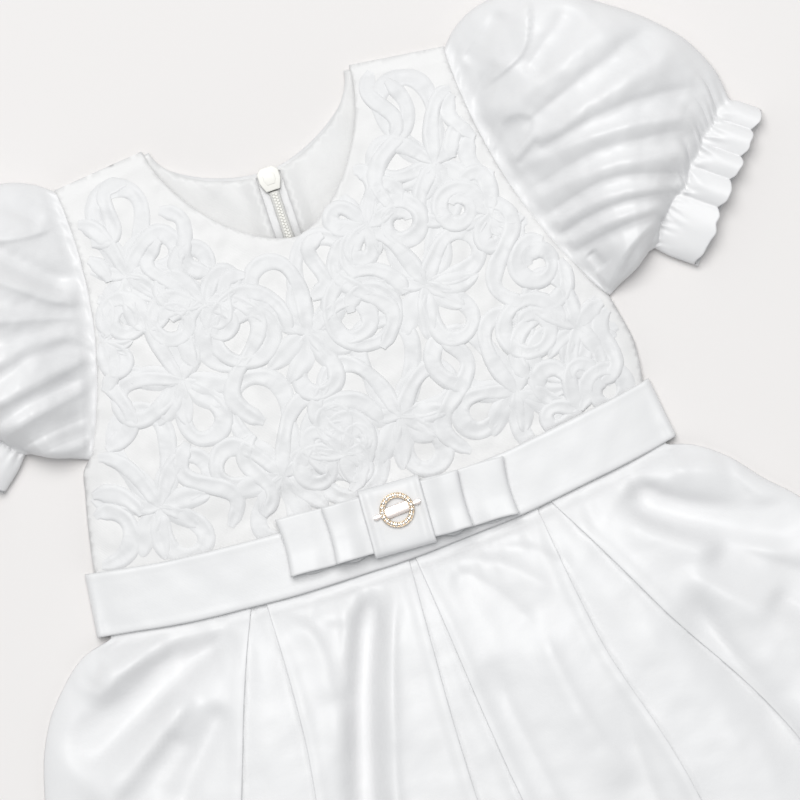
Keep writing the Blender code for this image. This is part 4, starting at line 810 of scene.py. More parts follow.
GOLD = solid_material("buckle_gold", (0.95, 0.82, 0.66), (0.90, 0.74, 0.56), 0.24, 1.0, 1500.0, 0.00003)
BAR = solid_material("buckle_bar", (0.98, 0.90, 0.86), (0.95, 0.85, 0.80), 0.26, 0.6, 700.0, 0.00002)
CRYSTAL = solid_material("crystal", (0.97, 0.94, 0.89), (0.90, 0.86, 0.80), 0.1, 0.9, 2600.0, 0.00002)


# Bodice and ribbon work


def bodice_cloth_z(x, y):
    """The bodice with the small puckers that its sewn ribbon pulls, and the seam along each shoulder."""
    z = bodice_z(x, y)
    seam = shoulder_y(x) - y
    z = z + 0.5 * hill(seam - 3.4, 1.3) - 0.35 * hill(seam - 6.0, 0.8)
    shown = smooth((y - belt_y(x) - BELT_HALF_HEIGHT - 1.0) / 6.0) * smooth((seam - 5.0) / 6.0)
    pucker = 0.28 * ripples(x, y, 3, 15.0, 12) + 0.14 * ripples(x, y, 4, 6.0, 12)
    return z + shown * pucker


def petal_line(foot, angle, length, width):
    ahead, aside = heading(angle)
    turn = np.linspace(0, math.pi, 80)[:, None]
    return foot + ahead * length * np.sin(turn) + aside * width / 2 * np.sin(2 * turn)


def rosette_line(foot, angle, distance, width, hand):
    ahead, _ = heading(angle)
    centre = foot + ahead * distance
    start = math.atan2(-ahead[1], -ahead[0])
    share = np.linspace(0, 1, 140)
    radius = width / 2 * mix(1.12, ROSETTE_CORE, share**1.4)
    turn = start + hand * 2 * math.pi * ROSETTE_TURNS * share
    return centre + np.stack([np.cos(turn), np.sin(turn)], axis=1) * radius[:, None]


def scroll_line(x0, y0, x1, y1, bend):
    start, end = np.array((x0, y0), float), np.array((x1, y1), float)
    ahead = end - start
    aside = np.array((ahead[1], -ahead[0])) / np.hypot(*ahead)
    share = np.linspace(0, 1, 60)[:, None]
    return start + ahead * share + aside * bend * np.sin(2 * math.pi * share)


def even(line):
    """The line with points one ribbon step apart."""
    lengths = np.concatenate([[0.0], np.cumsum(np.hypot(*np.diff(line, axis=0).T))])
    count = max(int(lengths[-1] / RIBBON_STEP), 3)
    at = np.linspace(0, lengths[-1], count)
    return np.stack([np.interp(at, lengths, line[:, 0]), np.interp(at, lengths, line[:, 1])], axis=1)


def spray_angle(angle, turn, hand):
    return hand * math.radians(angle) - math.radians(turn)


def ribbon_centres():
    lines = []
    for x, y, turn, size, hand in SPRAYS:
        foot = np.array((x, y), float)
        for angle, length, width in PETALS:
            lines.append(petal_line(foot, spray_angle(angle, turn, hand), length * size, width * size))
        angle = spray_angle(ROSETTE_ANGLE, turn, hand)
        lines.append(rosette_line(foot, angle, ROSETTE_REACH * size, ROSETTE_WIDTH * size, hand))
    return lines + [scroll_line(*row) for row in SCROLLS]


def stretches(line, outline):
    """The parts of a line that lie on the open bodice, clear of its edges and of the belt."""
    closed = np.vstack([outline, outline[:1]])
    away, _ = nearest(line[:, 0], line[:, 1], closed)
    good = inside(line[:, 0], line[:, 1], outline) & (np.abs(away) > EDGE_MARGIN)
    good &= line[:, 1] > belt_y(line[:, 0]) + BELT_HALF_HEIGHT - 4.0
    parts, start = [], None
    for i, keep in enumerate(list(good) + [False]):
        if keep and start is None:
            start = i
        if not keep and start is not None:
            if i - start > LEAST_STRETCH or i - start == len(line):
                parts.append(line[start:i])
            start = None
    return parts


def domed(across):
    return np.sqrt(np.maximum(0.0, 1 - np.abs(across) ** 4))


def above_belt(x, y):
    """The share of the ribbon's height that shows: none where the belt lies on it."""
    return smooth((y - belt_y(x) - BELT_HALF_HEIGHT + 1.0) / 2.5)


def ribbon_strip(line, seed, lift):
    """A soft flat tape along the line, a little fuller at its edges, that gathers unevenly."""
    random = np.random.default_rng(seed)
    tangent = np.gradient(line, axis=0)
    tangent /= np.maximum(np.hypot(tangent[:, 0], tangent[:, 1]), 1e-9)[:, None]
    aside = np.stack([tangent[:, 1], -tangent[:, 0]], axis=1)
    length = np.arange(len(line)) * RIBBON_STEP
    drift = np.sin(length / random.uniform(6, 10) + random.uniform(0, 6))
    wander = np.sin(length / random.uniform(3, 5) + random.uniform(0, 6))
    across = np.array([-1.0, -0.95, *np.linspace(-0.8, 0.8, 9), 0.95, 1.0])[None, :]
    ends = smooth(np.minimum(length, length[::-1]) / 5.0)[:, None]
    wide = RIBBON_HALF_WIDTH * (1 + 0.10 * drift + 0.07 * wander)[:, None] * mix(0.5, 1.0, ends)
    x = line[:, :1] + aside[:, :1] * across * wide
    y = line[:, 1:] + aside[:, 1:] * across * wide
    dome = domed(across)
    length, drift, wander = length[:, None], drift[:, None], wander[:, None]
    main_ridge = (0.42 + 0.16 * drift) * hill(across - 0.62 - 0.1 * wander, 0.26)
    side_ridge = (0.32 - 0.16 * wander) * hill(across + 0.66, 0.24)
    gather = 0.08 * np.sin(length * 1.5 + 2.0 * drift) * np.abs(across - 0.1)
    gather = gather + 0.05 * np.sin(length * 2.3 + 2.4 * across)
    height = RIBBON_RISE * (0.36 + main_ridge + side_ridge + gather) * dome * mix(0.3, 1.0, ends)
    z = bodice_cloth_z(x, y) + (height + lift[:, None] * dome) * above_belt(x, y) + RIBBON_LIFT
    grid = np.stack([x, y, z], axis=2)
    return grid.reshape(-1, 3), grid_faces(*grid.shape[:2])[:, ::-1].tolist()


def leaf(foot, angle, length, width, seed):
    """A short folded loop of tape that lies flat as a leaf, with a crease along its middle."""
    ahead, aside = heading(angle)
    bend = np.random.default_rng(seed).uniform(-2.0, 2.0)
    along = np.linspace(0, 1, LEAF_ROWS)[:, None]
    across = np.linspace(-1, 1, LEAF_COLUMNS)[None, :]
    half = width / 2 * (np.sin(math.pi * along**0.8) ** 0.6 + 0.16)
    offset = across * half + bend * np.sin(math.pi * along)
    x = foot[0] + ahead[0] * (2.0 + length * along) + aside[0] * offset
    y = foot[1] + ahead[1] * (2.0 + length * along) + aside[1] * offset
    dome = domed(across) * np.ones_like(along)
    body = 0.6 * dome - 0.22 * hill(across, 0.2) + 0.1 * hill(np.abs(across) - 0.66, 0.2)
    body = body + 0.1 * np.sin(across * 5 + along * 4 + seed) * dome
    body = body * smooth(along * 6 + 0.2) * smooth((1 - along) * 6 + 0.2)
    z = bodice_cloth_z(x, y) + LEAF_LIFT + body * above_belt(x, y)
    grid = np.stack([x, y, z], axis=2)
    faces = grid_faces(LEAF_ROWS, LEAF_COLUMNS)[:, ::-1].tolist()
    return grid.reshape(-1, 3), faces, grid[:, LEAF_COLUMNS // 2, :2]


def build_bodice():
    outline = bodice_outline(FRONT_NECK_DROP)
    cloth = cloth_panel("bodice_cloth", outline, bodice_cloth_z, CLOTH, 2.0, NET_SATIN)
    parts, laid = [], np.zeros((0, 2))
    lines = [even(line) for line in ribbon_centres()]
    pieces = [part for line in lines for part in stretches(line, outline)]
    for number, (x, y, turn, size, hand) in enumerate(SPRAYS):
        for k, (angle, length, width) in enumerate(LEAVES):
            foot, seed = np.array((x, y), float), LEAF_SEED + number * 9 + k
            angle = spray_angle(angle, turn, hand)
            points, faces, middle = leaf(foot, angle, length * size, width * size, seed)
            whole = stretches(middle, outline)
            if len(whole) == 1 and len(whole[0]) == len(middle):
                parts.append((points, faces))
    for number, line in enumerate(pieces):
        lift = np.zeros(len(line))
        if len(laid):
            away = np.sqrt(((line[:, None, :] - laid[None, ::3, :]) ** 2).sum(axis=2)).min(axis=1)
            lift = 0.6 * smooth((7.4 - away) / 5.0)
            lift = np.convolve(np.pad(lift, 3, mode="edge"), np.ones(7) / 7, mode="valid")
        parts.append(ribbon_strip(line, RIBBON_SEED + number, lift))
        laid = np.vstack([laid, line])
    ribbon = joined("ribbon_work", parts, RIBBON)
    return cloth, ribbon


def build_backs():
    made = []
    for side in ("left", "right"):
        shape = back_half(bodice_outline(BACK_NECK_DROP, 2), side, 0.25)
        back = cloth_panel(f"back_cloth_{side}", shape, back_inner_z, CLOTH * 1.6, 4.0, SATIN)
        shape = back_half(lining_outline(), side, LINING_ZIP_EDGE)

        def lining_cloth_z(x, y):
            folds = 0.5 * line_folds(x, y, LINING_FOLDS)
            return lining_z(x, y) + folds + 0.12 * ripples(x, y, 8, 22.0, 8) + 0.12

        lining = cloth_panel(f"lining_cloth_{side}", shape, lining_cloth_z, CLOTH, 2.6, LINING)
        made.append((side, back, lining))
    return made


# Sleeves


def to_side(x, y, side):
    """A place of the left sleeve's plan on either sleeve, fitted to that side's armhole."""
    if side == "left":
        return x, y
    one, one_end = ARMHOLES["left"]
    other, other_end = ARMHOLES["right"]
    here, there = one_end - one, other_end - other
    square = (here**2).sum()
    px, py = x - one[0], y - one[1]
    ahead = (px * here[0] + py * here[1]) / square
    aside = (px * here[1] - py * here[0]) / square
    aside = aside * math.sqrt(square / (there**2).sum())
    return other[0] + there[0] * ahead - there[1] * aside, other[1] + there[1] * ahead + there[0] * aside


def sleeve_value(row, column):
    return curve(np.arange(len(SLEEVE)), SLEEVE[:, column], row)


def lobes(share, edges):
    """Soft bulges between the edges, each fuller where it starts."""
    edges = np.array(edges)
    at = np.clip(np.searchsorted(edges, share, side="right") - 1, 0, len(edges) - 2)
    t = np.clip((share - edges[at]) / (edges[at + 1] - edges[at]), 0, 1)
    return np.sin(math.pi * t) ** 0.55 * (1.15 - 0.4 * t)


def tucks(along, beside, span, count, seed, inward, outward, width=1.0):
    """Short uneven puckers across a gathered line; beside is the distance outward from it."""
    random = np.random.default_rng(seed)
    total = np.zeros(np.broadcast(along, beside).shape)
    for k in range(count):
        place = span * (k + random.uniform(0.1, 0.9)) / count
        wide, height = width * random.uniform(0.7, 1.5), random.uniform(0.5, 1.3)
        reach_in, reach_out = inward * random.uniform(0.35, 1.4), outward * random.uniform(0.4, 1.4)
        slant = random.uniform(-0.25, 0.25)
        across = (along - place - slant * beside) / (wide * (1 + np.abs(beside) / 12.0))
        fade = np.exp(-np.where(beside < 0, np.abs(beside / reach_in), np.abs(beside / reach_out)) ** 1.6)
        total = total + height * fade * (hill(across, 1.0) - 0.55 * hill(np.abs(across) - 1.8, 0.9))
    return total


def sleeve_distance(row, start):
    """Distance down the middle of the sleeve from the starting row."""
    middle = np.stack([SLEEVE[:, 0] + SLEEVE[:, 2], SLEEVE[:, 1] + SLEEVE[:, 3]], axis=1) / 2
    gone = np.concatenate([[0.0], np.cumsum(np.hypot(*np.diff(middle, axis=0).T))])
    return np.interp(row, np.arange(len(SLEEVE)), gone) - gone[start]


def sleeve_grid(side):
    last = len(SLEEVE) - 1
    puff, cuff = np.linspace(0, CUFF_START, PUFF_ROWS)[:-1], np.linspace(CUFF_START, last, CUFF_ROWS)
    row = np.concatenate([puff, cuff])[:, None]
    front = np.linspace(0, math.pi, FRONT_COLUMNS)[:-1]
    back = np.linspace(math.pi, 2 * math.pi, BACK_COLUMNS)[:-1]
    angle = np.concatenate([front, back])[None, :]
    is_front = angle < math.pi
    share = (1 - np.cos(angle)) / 2
    seed = SLEEVE_SEEDS[side]
    upper_x, upper_y = sleeve_value(row, 0), sleeve_value(row, 1)
    lower_x, lower_y = sleeve_value(row, 2), sleeve_value(row, 3)
    chord_x, chord_y = lower_x - upper_x, lower_y - upper_y
    length = np.hypot(chord_x, chord_y)
    out_x, out_y = -chord_y / length, chord_x / length
    from_elastic, from_head = sleeve_distance(row, ELASTIC_ROW), sleeve_distance(row, 0)
    frill = smooth(from_elastic / 7.0)
    lobe = lobes(share, FRILL_LOBES)
    bulge = -ARMHOLE_CURVE * sleeve_value(row, 6) * np.sin(math.pi * share) ** 0.8
    uneven = ripples(share * ELASTIC_SPAN, 0 * share, seed + 1, 16.0, 6)
    bulge = bulge + np.where(is_front, hill(from_elastic, 6.0) * uneven * 1.1, 0.0)
    corners = 0.5 * ripples(share * ELASTIC_SPAN, 0 * share, seed + 6, 7.0, 6)
    bulge = bulge + np.where(is_front, frill * (2.6 * (lobe - 0.75) + corners), 0.0)
    x, y = upper_x + chord_x * share + out_x * bulge, upper_y + chord_y * share + out_y * bulge
    x, y = to_side(x, y, side)
    low, top = sleeve_value(row, 5), sleeve_value(row, 4)
    flat = np.minimum(np.abs(np.sin(angle)), 1.0) ** 0.35
    arch = np.abs(np.sin(angle)) ** 0.75
    body = np.minimum(1.0, arch * 1.6)
    z = mix(low, top, arch)
    seam = np.maximum(bodice_z(x, y), low)
    at_seam = mix(mix(low, seam, np.minimum(1.0, np.abs(np.sin(angle)) * 4)), z, smooth(row))
    z = np.where(row < 1, at_seam, z)
    folds = LEFT_SLEEVE_FOLDS if side == "left" else RIGHT_SLEEVE_FOLDS
    hold = smooth(row / 0.9) * smooth((ELASTIC_ROW + 0.2 - row) / 1.3)
    z = z + hold * body * SLEEVE_FOLD_DEPTH * line_folds(x, y, folds)
    crumple = 0.34 * ripples(x, y, seed + 4, 16.0, 10) + 0.16 * np.abs(ripples(x, y, seed + 7, 11.0, 8))
    crumple = crumple + 0.11 * ripples(x, y, seed + 9, 6.5, 12)
    z = z + sleeve_value(row, 7) * arch * crumple
    z = z + 1.9 * hill(from_elastic + 5.0, 4.0) * (lobes(share, POUCH_LOBES) - 0.7) * body
    cuff = tucks(share * ELASTIC_SPAN, from_elastic, ELASTIC_SPAN, CUFF_GATHERS, seed + 2, 9.0, 4.5)
    z = z + body * (cuff - 0.9 * hill(from_elastic, 2.0))
    head_on = smooth(from_head / 1.5) * smooth((60.0 - from_head) / 20.0)
    head = tucks(share * length, -from_head, HEAD_SPAN, HEAD_GATHERS, seed + 3, 26.0, 5.0, 2.4)
    z = z + 0.7 * body * head_on * head
    z = z + frill * body * (2.9 * (lobe - 0.72) + 0.35 * uneven)
    z = np.where(is_front, z, low * (1 - flat) * np.ones_like(z))
    grid = np.stack([x * np.ones_like(z), y * np.ones_like(z), np.maximum(z, 0.0)], axis=2)
    tucked = grid[:1].copy()
    weight = np.where(is_front, np.minimum(arch * 3, 1.0), 0.0)
    tucked[0, :, 0] += (-SEAM_TUCK if side == "left" else SEAM_TUCK) * weight[0]
    tucked[0, :, 2] -= 1.1 * weight[0]
    return np.concatenate([tucked, grid])


def build_sleeves():
    made = []
    for side in ("left", "right"):
        grid = sleeve_grid(side)
        if side == "left":
            grid = grid[:, ::-1]
        made.append((side, cloth_grid(f"sleeve_cloth_{side}", grid, CLOTH, SATIN, ring=True)))
    return made


# Belt and bow


def belt_section(beyond):
    half = BELT_HALF_WIDTH + beyond
    side = [(5.0, 0.0), (2.0, 0.35), (0.4, 1.7), (0.0, 3.4), (0.5, 5.0), (2.0, 6.7)]
    side = [(half - inset, z) for inset, z in side]
    top_x = [half - 5.0, half - 10.0, half - 18.0] + list(np.linspace(105, 0, 16))
    top = [(x, float(waist_z(min(x, WAIST_HALF_WIDTH))) + BELT_CLEARANCE + BELT_WALL) for x in top_x]
    right_half = [(x, 0.0) for x in (40.0, 90.0)] + side + top
    left_half = [(-x, z) for x, z in right_half]
    return [(ZIP_X + 0.3, 0.0)] + right_half + left_half[-2::-1] + [(ZIP_X - 0.3, 0.0)]


def build_belt():
    rows = []
    for share in np.linspace(-1, 1, BELT_ROWS):
        along = share * BELT_HALF_HEIGHT
        section = rounder(belt_section(-BELT_SPLAY * along))
        x, z = section[:, 0], section[:, 1]
        front = smooth((z - 3.0) / 4.0)
        rim = smooth((abs(share) - 0.8) / 0.2)
        uneven = 0.3 * ripples(x, 0 * x + along, 51, 46.0, 8) + 0.12 * ripples(x, 0 * x + along, 52, 17.0, 8)
        z = z + front * uneven
        z = z + front * (0.35 * hill(abs(share) - 0.9, 0.07) - 0.35 * rim)
        edge_y = 0.35 * rim * ripples(x, 0 * x, 53, 60.0, 6)
        rows.append(np.stack([x, belt_y(x) + along + edge_y, z], axis=1))
    return cloth_grid("belt_cloth", np.array(rows), CLOTH, BELT_SATIN)


def placed(x, y, z, turn=BOW_TURN, centre=(BOW_X, BOW_Y)):
    c, s = math.cos(turn), math.sin(turn)
    return np.stack([centre[0] + x * c - y * s, centre[1] + x * s + y * c, z], axis=-1)


def loop_section(loop, flare, mouth):
    """Closed section of a flat loop in X and Z, and how far each point is in its upper layer."""
    length, _, grip, centre_low, centre_high, end_low, end_high, _ = loop
    half = length / 2 + flare
    end_high = end_high + mouth
    upper, lower = [(0.0, centre_high, 1.0)], [(0.0, centre_low, 0.0)]
    for share in np.linspace(0, 1, 7):
        x = mix(grip, half - 3.0, share)
        full = float(smooth((x - grip) / LOOP_RISE))
        upper.append((x, mix(centre_high, end_high, full), 1.0))
        lower.append((x, mix(centre_low, end_low, full), 0.0))
    middle, reach = (end_low + end_high) / 2, (end_high - end_low) / 2
    end = [
        (half - 1.0, middle + reach * 0.86, 0.9),
        (half, middle + reach * 0.3, 0.65),
        (half, middle - reach * 0.3, 0.35),
        (half - 1.0, middle - reach * 0.86, 0.1),
    ]
    one = upper[1:] + end + lower[:0:-1]
    other = [(-x, z, u) for x, z, u in reversed(one)]
    return np.array([upper[0]] + one + [lower[0]] + other)


def build_loop(name):
    loop = LOOPS[name]
    length, height, grip = loop[:3]
    seed = 60 if name == "bow_lower_loop" else 64
    rows = []
    for share in np.linspace(1, -1, LOOP_ROWS):
        open_share = float(smooth((-share - 0.2) / 0.8))
        mouth = 1.3 * open_share
        section = rounder(loop_section(loop, loop[7] * share * share, mouth), closed=True)
        x, z, upper = section[:, 0], section[:, 1], section[:, 2]
        out = smooth((np.abs(x) - grip) / (length / 2 - grip))
        hang_out = 1.5 * open_share * (1 - upper) * np.sin(math.pi * np.clip(out, 0, 1)) ** 1.2
        y = share * height / 2 - hang_out + 0.25 * ripples(x, 0 * x, seed, 20.0, 5) * abs(share) ** 4
        z = z + 0.22 * upper * ripples(x, y, seed + 1, 17.0, 8)
        rows.append(placed(x, y, z))
    return cloth_grid(f"{name}_cloth", np.array(rows), CLOTH, BELT_SATIN, ring=True)


def build_strap():
    half, middle = STRAP_HEIGHT / 2, (STRAP_LOW + STRAP_HIGH) / 2
    one = [(half - 3, STRAP_LOW), (half - 1, STRAP_LOW + 0.6), (half, STRAP_LOW + 2.2), (half, middle)]
    one += [(half - 0.3, STRAP_HIGH - 2.2), (half - 1.4, STRAP_HIGH - 0.6), (half - 3.4, STRAP_HIGH)]
    one += [(8.0, STRAP_HIGH), (4.0, STRAP_HIGH)]
    other = [(-y, z) for y, z in reversed(one)]
    section = [other[-1], (0, STRAP_LOW)] + one + [(0.0, STRAP_HIGH)] + other[:-1]
    ring = rounder(section, closed=True)
    rows = []
    for share in np.linspace(1, -1, STRAP_ROWS):
        x = share * STRAP_WIDTH / 2
        y, z = ring[:, 0], ring[:, 1]
        top = smooth((z - middle) / 3.0)
        fold = 0.55 * hill(abs(share) - 0.93, 0.07) - 0.5 * hill(abs(share) - 0.72, 0.12)
        under_ring = hill(np.hypot(x - 1.0, y - 2.9), 9.0, 4)
        z = z + top * (fold + 0.2 * ripples(x + 0 * y, y, 68, 14.0, 8)) * (1 - 0.85 * under_ring) - 0.1 * top
        rows.append(placed(np.full(y.shape, x), y, z))
    return cloth_grid("strap_cloth", np.array(rows), CLOTH, BELT_SATIN, ring=True)


# Skirt


def skirt_value(drop, column):
    return curve(SKIRT[:, 0], SKIRT[:, column], drop)


def skirt_plan(x, drop):
    left, right = skirt_value(drop, 1), skirt_value(drop, 2)
    across = (2 * x - left - right) / (right - left)
    waist_x = mix(SKIRT[0, 1], SKIRT[0, 2], (np.clip(across, -1, 1) + 1) / 2)
    longer = 1 + MIDDLE_LENGTH_SHARE * (1 - np.minimum(across * across, 1.0))
    return across, seam_y(waist_x) - GAP - drop * longer


def skirt_x(across, drop):
    """Lines down the skirt fan out straight from the belt, and only the sides follow its bulge."""
    share = (drop - FAN_START) / (FAN_END - FAN_START)
    edges = [skirt_value(drop, column) for column in (1, 2)]
    fans = list(edges)
    if drop > FAN_START:
        ends = [[skirt_value(at, column) for at in (FAN_START, FAN_END)] for column in (1, 2)]
        straight = [mix(start, end, share) for start, end in ends]
        fans = [mix(a, b, smooth((drop - 60.0) / 100.0)) for a, b in zip(straight, edges)]
    bulge = np.where(across < 0, edges[0] - fans[0], edges[1] - fans[1])
    return mix(fans[0], fans[1], (across + 1) / 2) + bulge * np.abs(across) ** 6


def skirt_z(x, drop):
    across, y = skirt_plan(x, drop)
    full = rounded(across, SKIRT_ROUND, SKIRT_FULLNESS)
    z = mix(skirt_value(drop, 3), skirt_value(drop, 4), full)
    free = smooth((drop - 11.0) / 12.0) * np.minimum(1.0, full * 1.3)
    covered = waist_z(np.clip(x, -WAIST_HALF_WIDTH, WAIST_HALF_WIDTH))
    if drop < 15:
        z = mix(covered - 0.4, z, smooth((drop - 12.0) / 3.0))
    near_seam = hill(drop - 17.0, 11.0) * smooth((drop - 11.0) / 4.0)
    gathers = 0.55 * near_seam * ripples(x, 0 * x, 71, 9.0, 8)
    small = 0.3 * ripples(x, y, 72, 34.0, 10) + 0.12 * ripples(x, y, 73, 13.0, 10)
    folds = SKIRT_FOLD_DEPTH * line_folds(x, y, SKIRT_FOLDS) + small
    room = np.maximum(z - SKIRT_LEAST_HEIGHT, 0.5)
    folds = np.where(folds < 0, folds / (1 + (np.abs(folds) / room) ** 4) ** 0.25, folds)
    return z + free * folds + gathers


def pleat_centre(pleat, drop):
    return float(skirt_x(mix(pleat[0], pleat[1], min(drop / 100.0, 1.0)), drop))


def pleat_gap(pleat, drop):
    opens, rate = pleat[2:]
    return PLEAT_LEAST_GAP + opens * (1 - math.exp(-drop * rate / opens))


def pleat_parts(left, right, depth):
    """Place, place that gives the height, and depth below it, for the points of one inverted pleat."""
    turn = PLEAT_TURN
    round_left, round_right = left - turn, right + turn
    angles = np.linspace(0, math.pi, PLEAT_TURN_POINTS)
    rounds = turn * np.sin(angles), turn - turn * np.cos(angles)
    parts = [(round_left + rounds[0], np.full(PLEAT_TURN_POINTS, round_left), rounds[1])]
    deep_left, deep_right = round_left - depth, round_right + depth
    xs = np.linspace(round_left, deep_left, PLEAT_HIDDEN_POINTS)[1:]
    parts.append((xs, xs, 2 * turn + HIDDEN_DROP * smooth((round_left - xs) / PLEAT_FADE)))
    xs = np.linspace(deep_left, deep_right, PLEAT_FLOOR_POINTS)
    middle = np.clip((xs - left) / max(right - left, 1e-6), 0, 1)
    wide = min((right - left) / 20.0, 1.0)
    hollow = 0.8 * wide * (hill(xs - left, 3.0) + hill(xs - right, 3.0)) * (xs > left) * (xs < right)
    below = 2 * turn + PLEAT_STEP - 0.9 * np.sin(math.pi * middle) ** 2 * wide + hollow
    outside = np.maximum(round_left - xs, xs - round_right)
    parts.append((xs, xs, below + (HIDDEN_DROP + 0.2) * smooth(outside / PLEAT_FADE)))
    xs = np.linspace(deep_right, round_right, PLEAT_HIDDEN_POINTS)[:-1]
    parts.append((xs, xs, 2 * turn + HIDDEN_DROP * smooth((xs - round_right) / PLEAT_FADE)))
    back = [part[::-1] for part in rounds]
    parts.append((round_right - back[0], np.full(PLEAT_TURN_POINTS, round_right), back[1]))
    return [np.concatenate(column) for column in zip(*parts)]


def skirt_row(drop):
    parts = []
    start, edge_end = float(skirt_x(-1, drop)), float(skirt_x(1, drop))

    def panel(xs):
        parts.append((xs, xs, np.zeros(len(xs))))

    for number, pleat in enumerate(PLEATS):
        centre, gap = pleat_centre(pleat, drop), pleat_gap(pleat, drop)
        left, right = centre - gap / 2, centre + gap / 2
        depth = max(PLEAT_LEAST_DEPTH, PLEAT_DEPTH - gap / 4)
        share = np.linspace(0, 1, PANEL_POINTS)[:-1] ** (1.5 if number == 0 else 1.0)
        panel(mix(start, left - PLEAT_TURN, share))
        parts.append(pleat_parts(left, right, depth))
        start = right + PLEAT_TURN
    panel(mix(start, edge_end, 1 - (1 - np.linspace(0, 1, PANEL_POINTS + 1)[1:]) ** 1.5))
    x, at, under = [np.concatenate(column) for column in zip(*parts)]
    for pleat in PLEATS:
        beyond = np.abs(at - pleat_centre(pleat, drop)) - pleat_gap(pleat, drop) / 2
        under = under - PLEAT_ROLL * smooth(drop / 40.0) * hill(beyond - 2.0, 3.2)
    z = skirt_z(at, drop) - under * smooth(drop / 8.0 + 0.4)
    return np.stack([x, skirt_plan(x, drop)[1], z], axis=1)


def uneven_drops(ends, counts):
    """Drops down the skirt, closer together near the belt."""
    parts = [np.linspace(a, b, count)[:-1] for a, b, count in zip(ends[:-1], ends[1:], counts)]
    return np.concatenate(parts + [ends[-1:]])


def build_skirt_front():
    drops = uneven_drops((0, SKIRT_TOP, SKIRT_UPPER, SKIRT_DROP), (32, 46, 46))
    grid = np.array([skirt_row(float(drop)) for drop in drops])
    return cloth_grid("skirt_cloth", grid, SKIRT_CLOTH, SATIN)


def build_skirt_backs():
    made = []
    drops = uneven_drops((0, SKIRT_TOP, SKIRT_DROP), (24, 60))
    for side, sign, ends in (("left", 1, (0, 1)), ("right", -1, (-1, 0))):
        rows = []
        for drop in drops:
            across = np.linspace(*ends, 80)
            x = np.where(across == 0, ZIP_X + sign * GAP, skirt_x(across, drop))
            across, y = skirt_plan(x, drop)
            under = under_belt(x, y)
            open_share = mix(0.15, 1.0, float(smooth(drop / 60.0)))
            flutes = sum(height * hill(across - place, FLUTE_WIDTH) for place, height in BACK_FLUTES)
            lift = BELT_LIFT * under + open_share * (1 - under) * flutes
            rows.append(np.stack([x, y, lift + SATIN_WALL], axis=1))
        made.append((side, cloth_grid(f"skirt_back_cloth_{side}", np.array(rows), CLOTH * 1.5, SATIN)))
    return made


# Buckle


def ring_part(radius, tube, z, across, around=72):
    angle, section = circle(around)[:, None], circle(across)[None, :]
    reach = radius + tube * np.cos(section)
    x = BUCKLE_X + reach * np.cos(angle + BUCKLE_TURN)
    y = BUCKLE_Y + reach * np.sin(angle + BUCKLE_TURN)
    points = np.stack([x, y, z + tube * np.sin(section) * np.ones_like(angle)], axis=2).reshape(-1, 3)
    i, j = np.arange(around)[:, None], np.arange(across)[None, :]
    a, b = i * across + j, i * across + (j + 1) % across
    c, d = ((i + 1) % around) * across + (j + 1) % across, ((i + 1) % around) * across + j
    return points, np.stack([a, d, c, b], axis=2).reshape(-1, 4).tolist()


def turned_part(profile, x, y, around):
    """A small round part from (radius, height) pairs, closed on its axis."""
    points, faces = [], []
    for radius, height in profile:
        for a in circle(around):
            points.append((x + radius * math.cos(a), y + radius * math.sin(a), height))
    top = (len(profile) - 1) * around
    for low in range(0, top, around):
        high = low + around
        for i in range(around):
            j = (i + 1) % around
            faces.append([low + i, low + j, high + j, high + i])
    faces.append(list(range(top, top + around)))
    faces.append(list(reversed(range(around))))
    return points, faces


def round_ring(angle, reach):
    return BUCKLE_X + reach * math.cos(angle), BUCKLE_Y + reach * math.sin(angle)


def build_buckle():
    low = STRAP_HIGH + GAP
    ring_z = low + BUCKLE_TUBE * 0.72
    base = ring_z + 0.3
    parts = [ring_part(BUCKLE_RADIUS, BUCKLE_TUBE * 0.82, ring_z - 0.25, 14)]
    for beside in (0.95, -0.95):
        parts.append(ring_part(BUCKLE_RADIUS + beside, 0.22, ring_z + 0.45, 8))
    steps = np.linspace(0, math.pi / 2, 6)[:-1]
    dome = [(STONE_RADIUS * math.cos(a), base + STONE_RADIUS * 0.85 * math.sin(a)) for a in steps]
    prong = [(PRONG_RADIUS, base - 0.3), (PRONG_RADIUS, base + 0.3), (PRONG_RADIUS / 2, base + 0.42)]
    stones = []
    for i in range(STONES):
        angle = 2 * math.pi * i / STONES + BUCKLE_TURN
        place = round_ring(angle, BUCKLE_RADIUS)
        stones.append(turned_part([(STONE_RADIUS, base - 0.3)] + dome, *place, 14))
        for reach in (BUCKLE_RADIUS - 0.8, BUCKLE_RADIUS + 0.8):
            parts.append(turned_part(prong, *round_ring(angle + math.pi / STONES, reach), 8))
    setting = joined("ring_setting", parts, GOLD, 40)
    crystals = joined("ring_stones", stones, CRYSTAL, 60)
    return setting, crystals, build_bar(low)


